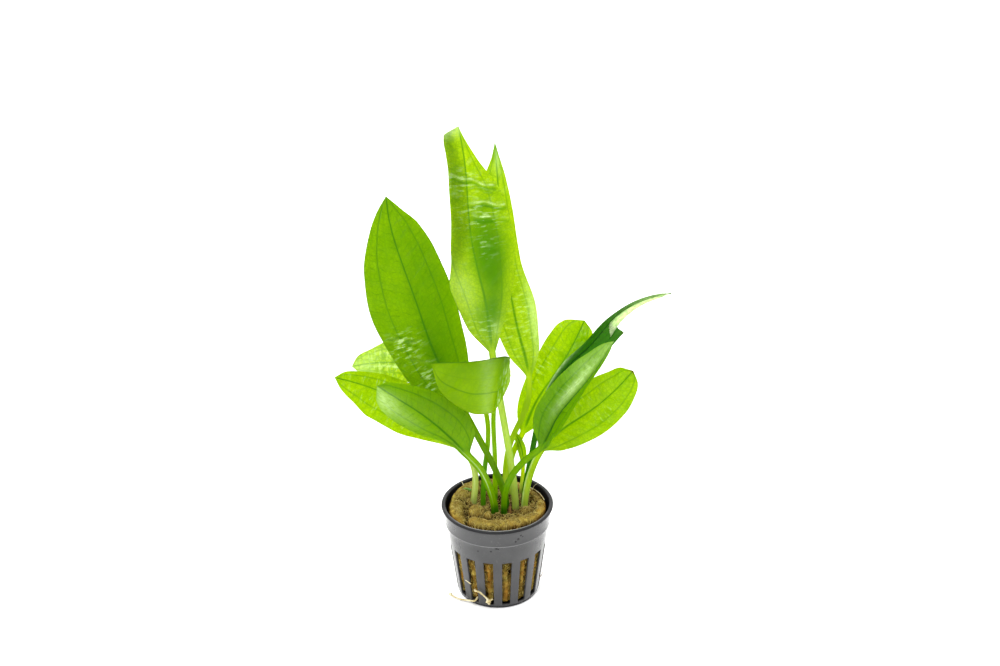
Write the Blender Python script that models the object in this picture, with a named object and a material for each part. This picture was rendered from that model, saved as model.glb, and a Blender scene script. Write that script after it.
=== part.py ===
"""Potted amazon sword: twelve leaves, the mineral wool they root in, two loose
roots and the slotted net pot. Sizes are in millimetres and turned into metres.
The origin is at the centre of the pot's underside, +Z is up and -Y is the front.
"""

import math

import bmesh
import bpy
import numpy as np
from mathutils import Vector

MM = 0.001
GAP = 0.35  # clearance between touching pieces

# Net pot
RIM_RADIUS = 27.5
POT_HEIGHT = 49.2
POT_WALL = 1.1
FOOT_RADIUS = 20.2
BODY_TAPER = 0.131  # radius gained for each mm of height
STEP_HEIGHT = 39.2
STEP_WIDTH = 0.7
STEP_RISE = 0.5
BAND_FLARE = 0.6
LIP_HEIGHT = 1.5
FOOT_ROUNDING = 1.4
FLOOR_THICKNESS = 1.4
POT_SIDES = 48
SLOTS = 16
SLOT_BOTTOM = 2.4
SLOT_TOP = 28.7
SLOT_WIDTH_LOW = 4.0
SLOT_WIDTH_HIGH = 4.9
SLOT_TURN = math.radians(10.75)

# Mineral wool
WOOL_LEVEL = 46.2
WOOL_TOP_RADIUS = 23.7
WOOL_SIDES = 24
WOOL_SIDE = ((1.9, 1.6), (14, 0.6), (27, 0.6), (37, 0.6))  # height, inset from the wall
WOOL_TOP = (1.0, 0.86, 0.68, 0.47, 0.25)  # parts of the top's radius
WOOL_SHOULDER = 2.2  # drop of the top's outermost ring
WOOL_LUMPS = (  # x, y, spread, height
    (-19, 1, 8, 3.2),
    (-16, 13, 7, 3.2),
    (-16.5, -9, 6, 2.2),
    (-10.2, -3, 4.2, 3.2),
    (-10.5, -15, 4.5, 2.4),
    (-3, -17, 5, 2.6),
    (5, -16.5, 5, 2.4),
    (13, -14, 5.5, 2.2),
    (20, -7, 6, 2.4),
    (14, 12, 8, 0.8),
)

# Leaves: stations along a blade where its half widths, unless its table has its own
# stations for them, and its form are given
WIDTH_AT = (0, 0.12, 0.3, 0.5, 0.7, 0.85, 0.94, 1.0)
FORM_AT = (0, 0.35, 0.7, 1.0)
NECK = 0.12  # part of a blade over which the stalk's section fades out
FOOT_STATIONS = (0, 8, 16)  # rings of the stalk's buried foot, which its socket shares
SOCKET_CLEARANCE = 0.78
SOCKET_POINTS = (0, 3, 6, 7, 9, 10, 11, 13)  # points of a stalk's ring that a socket follows
STALK_RINGS = 3
BLADE_RINGS = (0.05, 0.12, 0.21, 0.3, 0.4, 0.5, 0.6, 0.7, 0.8, 0.88, 0.94, 0.98)
ACROSS = (0.25, 0.6, 1.0)
HALF_STEPS = 60  # steps in which a half blade's cross section is worked out
MARGIN_THICKNESS = 0.45
STALK_CROWN = 0.2  # rise of a stalk's upper face, and depth of its lower face, as
STALK_BELLY = 1.15  # parts of its half width
RIB_BELLY = 0.35  # the same for the midrib under a blade, which thins towards the tip
RIB_TAPER = 0.6
FOLD_SPAN = 0.07  # part of a half blade that a sharp fold takes

# Each leaf: its spine from the foot of the stalk to the tip, the spine point
# where the blade starts, half width of the stalk, half widths of the blade left
# and right of the midrib, the way the upper face looks, and the angles by which
# each half is lifted from flat (fold) and bent further towards its margin (curl).
LEAVES = {
    "leaf_large_left": dict(
        spine=((4.6, -0.8, 35), (4.6, -0.8, 46), (-6, -3, 82), (-17, 1, 104), (-30, 8, 131),
               (-37, 15, 151), (-44, 24, 169), (-50, 34, 189), (-51, 38, 197)),
        blade=3,
        stalk=1.9,
        left=(1.6, 12, 18.5, 23, 19, 11, 5.5, 0),
        right=(1.6, 11.5, 17, 18.5, 16.5, 11.5, 6, 0),
        face=((0.2, -1, 0.3), (0.2, -1, 0.35), (0.15, -1, 0.4), (0.1, -1, 0.4)),
        fold=((15, 8, 6, 4), (12, 6, 4, 4)),
        curl=((0, 0, 0, 0), (-10, -15, -15, -10)),
    ),
    "leaf_tall_centre": dict(
        spine=((9, -1.6, 35), (9, -1.6, 46), (6, -1, 79), (2, 1, 106), (-1.5, 4, 131),
               (-4, 9, 153), (-10, 17, 180), (-12, 25, 200), (-13, 32, 214),
               (-16, 41, 231)),
        blade=4,
        stalk=1.8,
        width_at=(0, 0.12, 0.3, 0.5, 0.7, 0.85, 0.97, 1.0),
        left=(1.7, 10.5, 15, 18, 17, 15, 12.5, 0),
        right=(1.7, 7, 15.5, 20, 16, 6, 0.8, 0),
        face=((0, -1, 0.3), (0, -1, 0.35), (0, -1, 0.35), (0, -1, 0.3)),
        fold=((8, 5, 5, 5), (8, 5, 5, 5)),
        curl=((0, 0, 0, 0), (-8, -10, -10, -5)),
        rolled=dict(
            at=(0, 0.3, 0.45, 0.6, 0.8, 1.0),
            where=(0.97, 0.93, 0.63, 0.5, 0.54, 0.66),
            angle=(0, -50, -160, -168, -168, -168),
        ),
    ),
    "leaf_tall_back": dict(
        spine=((4, 7, 35), (4, 7, 46), (7, 11, 77), (15, 14, 96), (16, 16, 111),
               (11, 20, 134), (6, 29, 164), (3, 40, 191), (1, 53, 218)),
        blade=4,
        stalk=1.4,
        left=(1.4, 8, 10.5, 11, 10, 6.5, 2.4, 0),
        right=(1.4, 8, 11, 7, 6, 4, 1.6, 0),
        face=((0, -1, 0.3), (0, -1, 0.35), (0, -1, 0.35), (0, -1, 0.3)),
        fold=((12, 8, 5, 5), (12, 8, 5, 5)),
        curl=((0, 0, 0, 0), (-10, -10, -10, -10)),
    ),
    "leaf_oval_back": dict(
        spine=((7, 12, 35), (7, 12, 46), (8, 15, 68), (13, 18, 78), (18, 21, 90),
               (30, 28, 107), (37, 34, 116), (44, 41, 128)),
        blade=3,
        stalk=1.4,
        left=(1.4, 6, 9.5, 12, 13, 12, 9, 0),
        right=(1.4, 6, 9, 10, 9.5, 8, 6, 0),
        face=((-0.1, -1, 0.3), (-0.1, -1, 0.3), (-0.1, -1, 0.4), (-0.1, -1, 0.4)),
        fold=((12, 8, 6, 5), (12, 8, 6, 5)),
        curl=((0, 0, -5, -10), (-5, -10, -10, -10)),
    ),
    "leaf_arching_right": dict(
        spine=((13, 4, 35), (13, 4, 46), (17, 5, 73), (24, 8, 102), (36, 11, 120),
               (45, 13, 128), (56, 15, 141), (69, 16, 150), (84, 15, 155)),
        blade=3,
        stalk=1.5,
        left=(1.5, 2.2, 3, 3, 1.8, 1.5, 1.1, 0),
        right=(1.5, 8, 10, 10.5, 5, 2.2, 1.4, 0),
        face=((-0.5, -1, 0.5), (-0.4, -0.8, 0.7), (-0.3, -0.7, 0.8), (-0.2, -0.7, 0.8)),
        fold=((25, 30, 35, 25), (10, 10, 10, 10)),
        curl=((0, 0, 0, 0), (-5, -5, -5, -5)),
    ),
    "leaf_folded_right": dict(
        spine=((3.2, -5.4, 35), (3.2, -5.4, 46), (8, -9, 71), (14, -8, 78), (21, -9, 85),
               (28, -10, 100), (36, -11, 113), (47, -12, 129), (55, -12, 144)),
        blade=4,
        stalk=1.6,
        left=(1.6, 8, 11.5, 12, 10.5, 7, 4, 0),
        right=(1.6, 4, 9, 6, 2.6, 2, 1.4, 0),
        face=((-0.4, -1, 0.4), (-0.4, -1, 0.4), (-0.4, -1, 0.4), (-0.4, -1, 0.4)),
        fold=((15, 20, 20, 15), (30, 50, 50, 40)),
        curl=((0, 0, 0, 0), (0, 0, 0, 0)),
    ),
    "leaf_oval_right": dict(
        spine=((13.3, -0.8, 35), (13.3, -0.8, 46), (17, -1, 68), (22, 0, 79), (33, 0, 91),
               (46, -2, 102), (58, -4, 115), (65, -6, 125)),
        blade=3,
        stalk=1.8,
        left=(1.6, 5, 9, 12, 11.5, 8.5, 6, 0),
        right=(1.6, 8, 11.5, 12.5, 11.5, 8.8, 6, 0),
        face=((-0.1, -1, 0.4), (-0.1, -1, 0.5), (0, -1, 0.6), (0, -1, 0.6)),
        fold=((12, 8, 6, 5), (10, 6, 5, 5)),
        curl=((-5, -10, -10, -10), (-5, -10, -10, -10)),
    ),
    "leaf_bent_front": dict(
        spine=((-1, 8, 35), (-1, 8, 46), (-1, 8, 74), (0, 9, 104), (4, 8, 117),
               (6.5, 4, 126), (5, -3, 132), (-2, -9, 134), (-17, -14, 135), (-30, -16, 136)),
        blade=3,
        neck=0.04,
        stalk=1.1,
        left=(1.2, 3, 10, 27, 25, 19, 12.5, 0),
        right=(1.2, 1.3, 2, 6, 11, 11, 7, 0),
        face=((0, 1, 0.1), (0, 0.2, 1), (0, -0.1, 1), (0, -0.1, 1)),
        fold=((-95, -96, -75, -72), (-70, -62, -62, -58)),
        curl=((0, 0, 0, 0), (0, 0, 0, 0)),
    ),
    "leaf_front_left": dict(
        spine=((-1.2, -4.6, 35), (-1.2, -4.6, 46), (-4, -10, 65), (-8, -11, 75), (-14, -13, 84),
               (-22, -15, 95), (-37, -19, 112), (-46, -21, 120), (-55, -23, 128)),
        blade=4,
        stalk=2.1,
        left=(1.8, 2, 5, 9, 10, 9, 6.5, 0),
        right=(1.8, 9, 13, 12.5, 10, 6.5, 4, 0),
        face=((0.1, -1, 0.5), (0.1, -1, 0.6), (0.1, -1, 0.6), (0.1, -1, 0.6)),
        fold=((18, 12, 10, 8), (14, 12, 10, 8)),
        curl=((0, -5, -5, 0), (-10, -15, -15, -10)),
    ),
    "leaf_wide_left": dict(
        spine=((-11.8, 3.4, 35), (-11.8, 3.4, 46), (-11, 3, 66), (-15, 5, 76), (-27, 7, 89),
               (-41, 7, 99), (-58, 6, 110), (-77, 4, 118)),
        blade=3,
        stalk=1.5,
        left=(1.5, 6, 11, 14, 13.5, 9, 5, 0),
        right=(1.5, 7, 12.5, 10.5, 8.5, 6, 4, 0),
        face=((0.1, -1, 0.6), (0.1, -1, 0.6), (0.1, -1, 0.6), (0.1, -1, 0.6)),
        fold=((12, 8, 6, 5), (12, 8, 6, 5)),
        curl=((-5, -10, -10, -10), (-5, -10, -10, -10)),
    ),
    "leaf_pale_left": dict(
        spine=((-7, 3, 35), (-7, 3, 46), (-6, 3, 66), (-4, 5, 88), (-9, 13, 103),
               (-24, 18, 111), (-40, 21, 115), (-56, 22, 116), (-70, 22, 114)),
        blade=4,
        stalk=1.2,
        left=(1.2, 5, 8, 9, 8, 6, 4, 0),
        right=(1.2, 4, 7, 9, 11, 8, 5, 0),
        face=((0.1, -1, 0.5), (0.1, -1, 0.6), (0.1, -1, 0.7), (0.1, -1, 0.7)),
        fold=((12, 12, 12, 12), (12, 10, 10, 10)),
        curl=((-10, -10, -15, -20), (-10, -20, -40, -50)),
    ),
    "leaf_small_back": dict(
        spine=((12, 13, 35), (12, 13, 46), (13, 14, 62), (12, 15, 72), (8, 16, 81)),
        blade=2,
        stalk=1.0,
        left=(1.0, 1.4, 2, 2.2, 1.8, 1.2, 0.8, 0),
        right=(1.0, 1.4, 2, 2.2, 1.8, 1.2, 0.8, 0),
        face=((0, -1, 0.3), (0, -1, 0.3), (0, -1, 0.3), (0, -1, 0.3)),
        fold=((10, 10, 10, 10), (10, 10, 10, 10)),
        curl=((0, 0, 0, 0), (0, 0, 0, 0)),
    ),
}

# Loose roots that come out of a slot: points of the route from the wool to the tip
ROOTS = {
    "root_left": (
        (-10.2, -16.8, 4.7), (-11.4, -18.6, 4.0), (-14.4, -16.2, 2.3), (-18.1, -13.9, 1.3),
        (-21.6, -12.0, 1.5), (-24.6, -9.6, 2.2),
    ),
    "root_front": (
        (-11.2, -17.2, 9.8), (-11.6, -19.4, 10.3), (-9.8, -20.6, 10.5), (-8.4, -21.1, 9.7),
        (-7.2, -21.3, 8.6), (-6.0, -21.4, 7.2), (-5.0, -21.4, 5.4), (-4.6, -21.4, 3.4),
    ),
}
ROOT_RADIUS = 0.45
ROOT_TAPER = 0.2  # part of the radius lost by the tip
ROOT_RINGS = 12
ROOT_SIDES = 8


def clear_scene():
    for thing in list(bpy.data.objects):
        bpy.data.objects.remove(thing, do_unlink=True)


def material(name, colour, roughness, metallic=0.0):
    made = bpy.data.materials.new(name)
    made.use_nodes = True
    shader = made.node_tree.nodes["Principled BSDF"]
    shader.inputs["Base Color"].default_value = (*colour, 1.0)
    shader.inputs["Roughness"].default_value = roughness
    shader.inputs["Metallic"].default_value = metallic
    return made


def object_from(bm, name, look):
    """A new object from a bmesh in mm, with faces outward and smooth shading."""
    bmesh.ops.scale(bm, vec=(MM, MM, MM), verts=bm.verts)
    bmesh.ops.recalc_face_normals(bm, faces=bm.faces)
    mesh = bpy.data.meshes.new(name)
    bm.to_mesh(mesh)
    bm.free()
    mesh.shade_smooth()
    mesh.set_sharp_from_angle(angle=math.radians(40))
    made = bpy.data.objects.new(name, mesh)
    bpy.context.scene.collection.objects.link(made)
    if look:
        mesh.materials.append(look)
    return made


def bridge(bm, lower, upper):
    """Quads between two rings with the same number of points."""
    count = len(lower)
    for i in range(count):
        j = (i + 1) % count
        bm.faces.new((lower[i], lower[j], upper[j], upper[i]))


def loft(bm, rings, start=None, end=None):
    """A closed skin through rings of points, each end capped flat or with a point."""
    made = [[bm.verts.new(point) for point in ring] for ring in rings]
    for lower, upper in zip(made, made[1:]):
        bridge(bm, lower, upper)
    for ring, point in ((made[0][::-1], start), (made[-1], end)):
        if point is None:
            bm.faces.new(ring)
            continue
        apex = bm.verts.new(point)
        for i, vert in enumerate(ring):
            bm.faces.new((vert, ring[(i + 1) % len(ring)], apex))
    return made


def subtract(target, cutter, name):
    """Cuts one object from another, and keeps the cutter out of the render."""
    cutter.hide_render = True
    cutter.display_type = "WIRE"
    cut = target.modifiers.new(name, "BOOLEAN")
    cut.operation = "DIFFERENCE"
    cut.object = cutter


# ---------------------------------------------------------------- curves


def unit(rows):
    return rows / np.linalg.norm(rows, axis=-1, keepdims=True)


def spline(points):
    """A smooth curve through the points: its function of length, and their lengths."""
    p = np.array(points, float)
    knots = np.concatenate([[0], np.cumsum(np.linalg.norm(np.diff(p, axis=0), axis=1))])
    h = np.diff(knots)
    count = len(p)
    system = np.eye(count)
    right = np.zeros((count, 3))
    for i in range(1, count - 1):
        system[i, i - 1 : i + 2] = (h[i - 1], 2 * (h[i - 1] + h[i]), h[i])
        right[i] = 6 * ((p[i + 1] - p[i]) / h[i] - (p[i] - p[i - 1]) / h[i - 1])
    bend = np.linalg.solve(system, right)

    def at(length):
        s = np.clip(np.atleast_1d(length), 0, knots[-1])
        i = np.clip(np.searchsorted(knots, s, side="right") - 1, 0, count - 2)
        span = h[i][:, None]
        a = (knots[i + 1] - s)[:, None]
        b = (s - knots[i])[:, None]
        cubic = (bend[i] * a**3 + bend[i + 1] * b**3) / (6 * span)
        before = (p[i] / span - bend[i] * span / 6) * a
        after = (p[i + 1] / span - bend[i + 1] * span / 6) * b
        return cubic + before + after

    return at, knots


def eased(stations, values, t):
    """Values at t, eased between stations without overshooting them."""
    x = np.array(stations, float)
    y = np.array(values, float)
    h = np.diff(x)
    rise = np.diff(y) / h
    slope = np.concatenate([[rise[0]], np.zeros(len(x) - 2), [rise[-1]]])
    for i in range(1, len(x) - 1):
        if rise[i - 1] * rise[i] > 0:
            a = 2 * h[i] + h[i - 1]
            b = h[i] + 2 * h[i - 1]
            slope[i] = (a + b) / (a / rise[i - 1] + b / rise[i])
    t = np.clip(t, x[0], x[-1])
    i = int(np.clip(np.searchsorted(x, t, side="right") - 1, 0, len(x) - 2))
    s = (t - x[i]) / h[i]
    near = (1 + 2 * s) * (1 - s) ** 2 * y[i] + s * (1 - s) ** 2 * h[i] * slope[i]
    far = s * s * (3 - 2 * s) * y[i + 1] + s * s * (s - 1) * h[i] * slope[i + 1]
    return near + far


# ---------------------------------------------------------------- leaves


class Leaf:
    """One leaf's surface, worked out from its table."""

    def __init__(self, table):
        self.table = table
        self.at, self.knots = spline(table["spine"])
        self.start = self.knots[table["blade"]]
        self.length = self.knots[-1]
        self.neck = table.get("neck", NECK)

    def stalk_share(self, t):
        """How much of the stalk's round section is left at blade fraction t."""
        return max(0.0, 1 - t / self.neck)

    def station(self, s):
        """Point, direction, upward and sideways axes, and blade fraction at s."""
        step = 0.25
        here = self.at(s)[0]
        along = unit(self.at(min(s + step, self.length))[0] - self.at(max(s - step, 0))[0])
        t = min(max((s - self.start) / (self.length - self.start), 0), 1)
        up = np.array([eased(FORM_AT, [f[k] for f in self.table["face"]], t) for k in range(3)])
        up = unit(up - along * up.dot(along))
        return here, along, up, np.cross(along, up), t

    def angles(self, t, side, q):
        """Slope of the half blade's cross section at parts q of its width."""
        half = 0 if side < 0 else 1
        fold = eased(FORM_AT, self.table["fold"][half], t)
        curl = eased(FORM_AT, self.table["curl"][half], t)
        slope = (fold + curl * q) * (1 - self.stalk_share(t))
        rolled = self.table.get("rolled")
        if rolled and side < 0:
            where = eased(rolled["at"], rolled["where"], t)
            angle = eased(rolled["at"], rolled["angle"], t)
            slope = slope + angle * np.clip((q - where) / (2 * FOLD_SPAN) + 0.5, 0, 1)
        return np.radians(slope)

    def half(self, t, side, q):
        """Sideways and upward offsets, and the slopes, at parts q of a half blade."""
        stations = self.table.get("width_at", WIDTH_AT)
        width = eased(stations, self.table["left" if side < 0 else "right"], t)
        grid = np.linspace(0, 1, HALF_STEPS + 1)
        slope = self.angles(t, side, (grid[1:] + grid[:-1]) / 2)
        out = np.concatenate([[0], np.cumsum(np.cos(slope))]) * width / HALF_STEPS
        lift = np.concatenate([[0], np.cumsum(np.sin(slope))]) * width / HALF_STEPS
        return side * np.interp(q, grid, out), np.interp(q, grid, lift), self.angles(t, side, q)

    def across(self, t):
        """Parts of the left and the right half where the ring has its points."""
        right = np.array(ACROSS)
        rolled = self.table.get("rolled")
        if not rolled:
            return right, right
        where = eased(rolled["at"], rolled["where"], t)
        inner = where - FOLD_SPAN
        outer = min(where + FOLD_SPAN, 0.97)
        return np.array([inner / 2, inner, where, outer, 1.0]), right

    def swell(self, t, q):
        """Thickness added above and below by the stalk and, further out, the midrib."""
        stalk = self.stalk_share(t)
        blade = 1 - stalk
        crown = STALK_CROWN * stalk * (1 - q * q)
        rib = RIB_BELLY * blade * (1 - RIB_TAPER * t)
        belly = (STALK_BELLY * stalk + rib) * (1 - q * q) ** (1 + 2 * blade)
        return self.table["stalk"] * crown, self.table["stalk"] * belly

    def ring(self, s):
        """One closed ring: upper face from left to right, then lower face back."""
        here, _, up, aside, t = self.station(s)
        left, right = self.across(t)
        upper = []
        lower = []
        for side, parts in ((-1, left[::-1]), (1, np.concatenate([[0], right]))):
            for x, y, slope, q in zip(*self.half(t, side, parts), parts):
                normal = aside * -math.sin(side * slope) + up * math.cos(slope)
                middle = here + aside * x + up * y
                crown, belly = self.swell(t, q)
                upper.append(middle + normal * (MARGIN_THICKNESS / 2 + crown))
                lower.append(middle - normal * (MARGIN_THICKNESS / 2 + belly))
        return upper + lower[::-1]

    def rings(self):
        stalk = np.linspace(FOOT_STATIONS[-1], self.start, STALK_RINGS + 1)
        blade = self.start + np.array(BLADE_RINGS) * (self.length - self.start)
        return [self.ring(s) for s in np.concatenate([FOOT_STATIONS[:-1], stalk, blade])]

    def socket_rings(self):
        """Rings of a bore that follows the buried part of the stalk."""
        rings = []
        for s in FOOT_STATIONS:
            points = np.array(self.ring(s))[list(SOCKET_POINTS)]
            centre = points.mean(axis=0)
            sink = self.station(s)[1] * GAP if s == 0 else 0
            rings.append(list(points + unit(points - centre) * SOCKET_CLEARANCE - sink))
        return rings


def build_leaf(name, table, look):
    leaf = Leaf(table)
    bm = bmesh.new()
    loft(bm, leaf.rings(), end=leaf.at(leaf.length)[0])
    return object_from(bm, name, look)


def build_socket(name, table):
    bm = bmesh.new()
    loft(bm, Leaf(table).socket_rings())
    return object_from(bm, name, None)


# ---------------------------------------------------------------- pot


def body_radius(z):
    return FOOT_RADIUS + BODY_TAPER * z


def pot_profile():
    """The wall's outline from the underside's centre round the lip to the floor's."""
    step = body_radius(STEP_HEIGHT)
    band = step + STEP_WIDTH
    band_foot = STEP_HEIGHT + STEP_RISE
    neck = band + BAND_FLARE
    lip_foot = POT_HEIGHT - LIP_HEIGHT
    wall = POT_WALL
    round_off = FOOT_ROUNDING
    return (
        (FOOT_RADIUS - round_off, 0),
        (FOOT_RADIUS - 0.3 * round_off, 0.3 * round_off),
        (FOOT_RADIUS, round_off),
        (step, STEP_HEIGHT),
        (band, band_foot),
        (neck, lip_foot),
        (RIM_RADIUS - 0.15 * LIP_HEIGHT, lip_foot + 0.1 * LIP_HEIGHT),
        (RIM_RADIUS, lip_foot + 0.45 * LIP_HEIGHT),
        (RIM_RADIUS - 0.15 * LIP_HEIGHT, POT_HEIGHT - 0.14 * LIP_HEIGHT),
        (RIM_RADIUS - 0.42 * LIP_HEIGHT, POT_HEIGHT),
        (neck - 1.3 * wall, POT_HEIGHT - 0.25 * LIP_HEIGHT),
        (neck - wall, lip_foot),
        (band - wall, band_foot),
        (step - wall, STEP_HEIGHT),
        (FOOT_RADIUS - wall, FLOOR_THICKNESS + 0.6 * round_off),
        (FOOT_RADIUS - wall - 0.6 * round_off, FLOOR_THICKNESS),
    )


def build_pot(look):
    bm = bmesh.new()
    rings = []
    for radius, z in pot_profile():
        turns = np.linspace(0, 2 * math.pi, POT_SIDES, endpoint=False)
        rings.append([(radius * math.sin(a), -radius * math.cos(a), z) for a in turns])
    loft(bm, rings, start=(0, 0, 0), end=(0, 0, FLOOR_THICKNESS))
    return object_from(bm, "net_pot", look)


def build_slot_cutter():
    """Wedges, wider at the top, that open the pot's wall all round."""
    bm = bmesh.new()
    inner = FOOT_RADIUS - 4
    outer = RIM_RADIUS + 3
    for k in range(SLOTS):
        turn = SLOT_TURN + 2 * math.pi * k / SLOTS
        out = Vector((math.sin(turn), -math.cos(turn), 0))
        aside = Vector((math.cos(turn), math.sin(turn), 0))
        rings = []
        for z, width in ((SLOT_BOTTOM, SLOT_WIDTH_LOW), (SLOT_TOP, SLOT_WIDTH_HIGH)):
            corners = ((inner, -1), (outer, -1), (outer, 1), (inner, 1))
            rings.append([out * r + aside * (w * width / 2) + Vector((0, 0, z)) for r, w in corners])
        loft(bm, rings)
    return object_from(bm, "slot_cutter", None)


# ---------------------------------------------------------------- wool and roots


def wool_height(x, y):
    height = WOOL_LEVEL
    for lump_x, lump_y, spread, rise in WOOL_LUMPS:
        away = ((x - lump_x) ** 2 + (y - lump_y) ** 2) / (spread * spread)
        height += rise * math.exp(-away)
    return height


def wool_edge(turn):
    """Radius of the wool's upper edge, uneven as the plug was wrapped."""
    return WOOL_TOP_RADIUS - 0.5 * math.sin(turn - 0.4) - 0.3 * math.cos(3 * turn)


def wool_rings():
    """Rings up the side of the plug, then over its lumpy top towards the centre."""
    turns = np.linspace(0, 2 * math.pi, WOOL_SIDES, endpoint=False)
    rings = []
    for z, inset in WOOL_SIDE:
        radius = body_radius(z) - POT_WALL - inset
        rings.append([(radius * math.cos(a), radius * math.sin(a), z) for a in turns])
    for part in WOOL_TOP:
        ring = []
        drop = WOOL_SHOULDER if part == 1.0 else 0
        for a in turns:
            x = part * wool_edge(a) * math.cos(a)
            y = part * wool_edge(a) * math.sin(a)
            ring.append((x, y, wool_height(x, y) - drop))
        rings.append(ring)
    return rings


def build_wool(look):
    bm = bmesh.new()
    loft(bm, wool_rings(), start=(0, 0, WOOL_SIDE[0][0]), end=(0, 0, wool_height(0, 0)))
    return object_from(bm, "mineral_wool", look)


def build_root(name, route, look):
    at, knots = spline(route)
    bm = bmesh.new()
    rings = []
    for s in np.linspace(0, knots[-1], ROOT_RINGS):
        along = unit(at(min(s + 0.2, knots[-1]))[0] - at(max(s - 0.2, 0))[0])
        aside = unit(np.cross(along, (0.8, -0.6, 0.1)))
        up = np.cross(aside, along)
        radius = ROOT_RADIUS * (1 - ROOT_TAPER * s / knots[-1])
        turns = np.linspace(0, 2 * math.pi, ROOT_SIDES, endpoint=False)
        rings.append([at(s)[0] + radius * (aside * math.cos(a) + up * math.sin(a)) for a in turns])
    loft(bm, rings)
    return object_from(bm, name, look)


LEAF_COLOURS = {
    "leaf_large_left": (0.17, 0.42, 0.01),
    "leaf_tall_centre": (0.25, 0.55, 0.01),
    "leaf_tall_back": (0.36, 0.64, 0.02),
    "leaf_oval_back": (0.33, 0.6, 0.02),
    "leaf_arching_right": (0.06, 0.25, 0.01),
    "leaf_folded_right": (0.14, 0.34, 0.06),
    "leaf_oval_right": (0.33, 0.62, 0.01),
    "leaf_bent_front": (0.14, 0.38, 0.01),
    "leaf_front_left": (0.14, 0.38, 0.02),
    "leaf_wide_left": (0.36, 0.66, 0.01),
    "leaf_pale_left": (0.4, 0.62, 0.15),
    "leaf_small_back": (0.4, 0.6, 0.08),
}


def main():
    clear_scene()
    pot = build_pot(material("pot_plastic", (0.07, 0.07, 0.075), 0.45))
    subtract(pot, build_slot_cutter(), "slots")
    wool = build_wool(material("wool_fibre", (0.34, 0.24, 0.07), 0.95))
    for name, table in LEAVES.items():
        build_leaf(name, table, material(name + "_green", LEAF_COLOURS[name], 0.4))
        subtract(wool, build_socket(name + "_socket", table), name)
    for name, route in ROOTS.items():
        build_root(name, route, material(name + "_cream", (0.75, 0.68, 0.5), 0.6))


main()
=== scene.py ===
import functools
import math

import bmesh
import bpy
import numpy as np
from mathutils import Matrix, Vector, noise


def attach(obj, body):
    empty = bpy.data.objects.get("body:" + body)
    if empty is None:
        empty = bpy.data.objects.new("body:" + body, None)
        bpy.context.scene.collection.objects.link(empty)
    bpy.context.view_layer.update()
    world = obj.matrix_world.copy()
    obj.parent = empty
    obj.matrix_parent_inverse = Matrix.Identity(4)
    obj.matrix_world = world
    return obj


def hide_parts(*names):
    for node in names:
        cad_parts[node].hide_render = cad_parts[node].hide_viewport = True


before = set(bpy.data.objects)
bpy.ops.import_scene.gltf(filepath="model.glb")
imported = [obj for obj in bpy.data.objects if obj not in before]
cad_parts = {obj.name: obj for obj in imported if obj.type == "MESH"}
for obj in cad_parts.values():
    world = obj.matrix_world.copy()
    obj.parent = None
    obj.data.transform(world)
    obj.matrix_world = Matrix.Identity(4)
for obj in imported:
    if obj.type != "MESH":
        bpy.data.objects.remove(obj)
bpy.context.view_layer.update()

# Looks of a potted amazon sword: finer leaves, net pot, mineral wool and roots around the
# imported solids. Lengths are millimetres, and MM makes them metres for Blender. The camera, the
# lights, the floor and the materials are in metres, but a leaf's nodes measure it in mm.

MM = 0.001

# ---------------------------------------------------------------- view and light

CAMERA_PLACE = (0.00234, -0.84913, 0.58370)
CAMERA_TILT = math.radians(27.44)
CAMERA_ROLL = math.radians(0.7)
CAMERA_LENS = 73.26  # mm, for a sensor of CAMERA_SENSOR mm
CAMERA_SENSOR = 36.0
FLOOR_SIZE = 20.0
DOME_SIDE = (0.0, 0.80, 0.60)  # the studio's dome is bright on this side, dim on the other
DOME_EDGES = (-0.35, 0.45)  # cosines from DOME_SIDE where it is dimmest and brightest
DOME_DIM = 0.2
DOME_BRIGHT = 2.7
LIGHTS = {  # place, what it looks at, width, height, power
    "light_front_high": ((-0.35, -0.9, 1.25), (0, 0, 0.15), 0.22, 0.17, 12.0),
}

# ---------------------------------------------------------------- net pot, as in the solids

RIM_RADIUS = 27.5
POT_HEIGHT = 49.2
NECK_HEIGHT = 42.5  # where the band starts to flare
POT_WALL = 1.1
FOOT_RADIUS = 20.2
BODY_TAPER = 0.131
STEP_HEIGHT = 39.2
STEP_WIDTH = 0.7
BAND_FLARE = 0.6
LIP_HEIGHT = 1.5
FOOT_ROUNDING = 1.4
FLOOR_THICKNESS = 1.4
SLOTS = 16
SLOT_BOTTOM = 2.4
SLOT_TOP = 28.7
SLOT_WIDTH_LOW = 4.0
SLOT_WIDTH_HIGH = 4.9
SLOT_TURN = math.radians(10.75)
SLOT_CELLS = 4
RIB_CELLS = 6
SLOT_ROWS = 14
SLOT_PITCH = 2 * math.pi / SLOTS
SLOT_PERIOD = SLOT_CELLS + RIB_CELLS
POT_COLUMNS = SLOTS * SLOT_PERIOD
SHARP_ANGLE = math.radians(50)
EDGE_ROUNDING = 0.22

# Painted highlight lines: a grey line along the lip's inner edge and one along the step, strongest in
# front.
HIGHLIGHT_LINE_GREY = (0.32, 0.32, 0.32)
LIP_HIGHLIGHT_ROWS = (10, 11, 12)  # of the outline, counted from the first one of the lip
STEP_HIGHLIGHT_ROWS = (-6, -5, -4)
POT_MARKS = (  # place and size of the dark flecks on the wall
    ((-0.6, -25.2, 38.6), 0.9),
    ((0.2, -25.2, 38.3), 0.7),
    ((-9.6, -23.0, 35.8), 0.7),
    ((-3.3, -24.8, 36.6), 0.7),
    ((10.0, -24.4, 43.3), 1.0),
    ((11.3, -24.0, 45.1), 0.8),
    ((8.8, -24.7, 42.1), 0.8),
    ((12.2, -23.6, 44.2), 0.6),
    ((21.6, -15.6, 46.9), 0.7),
)

# ---------------------------------------------------------------- mineral wool

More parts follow.
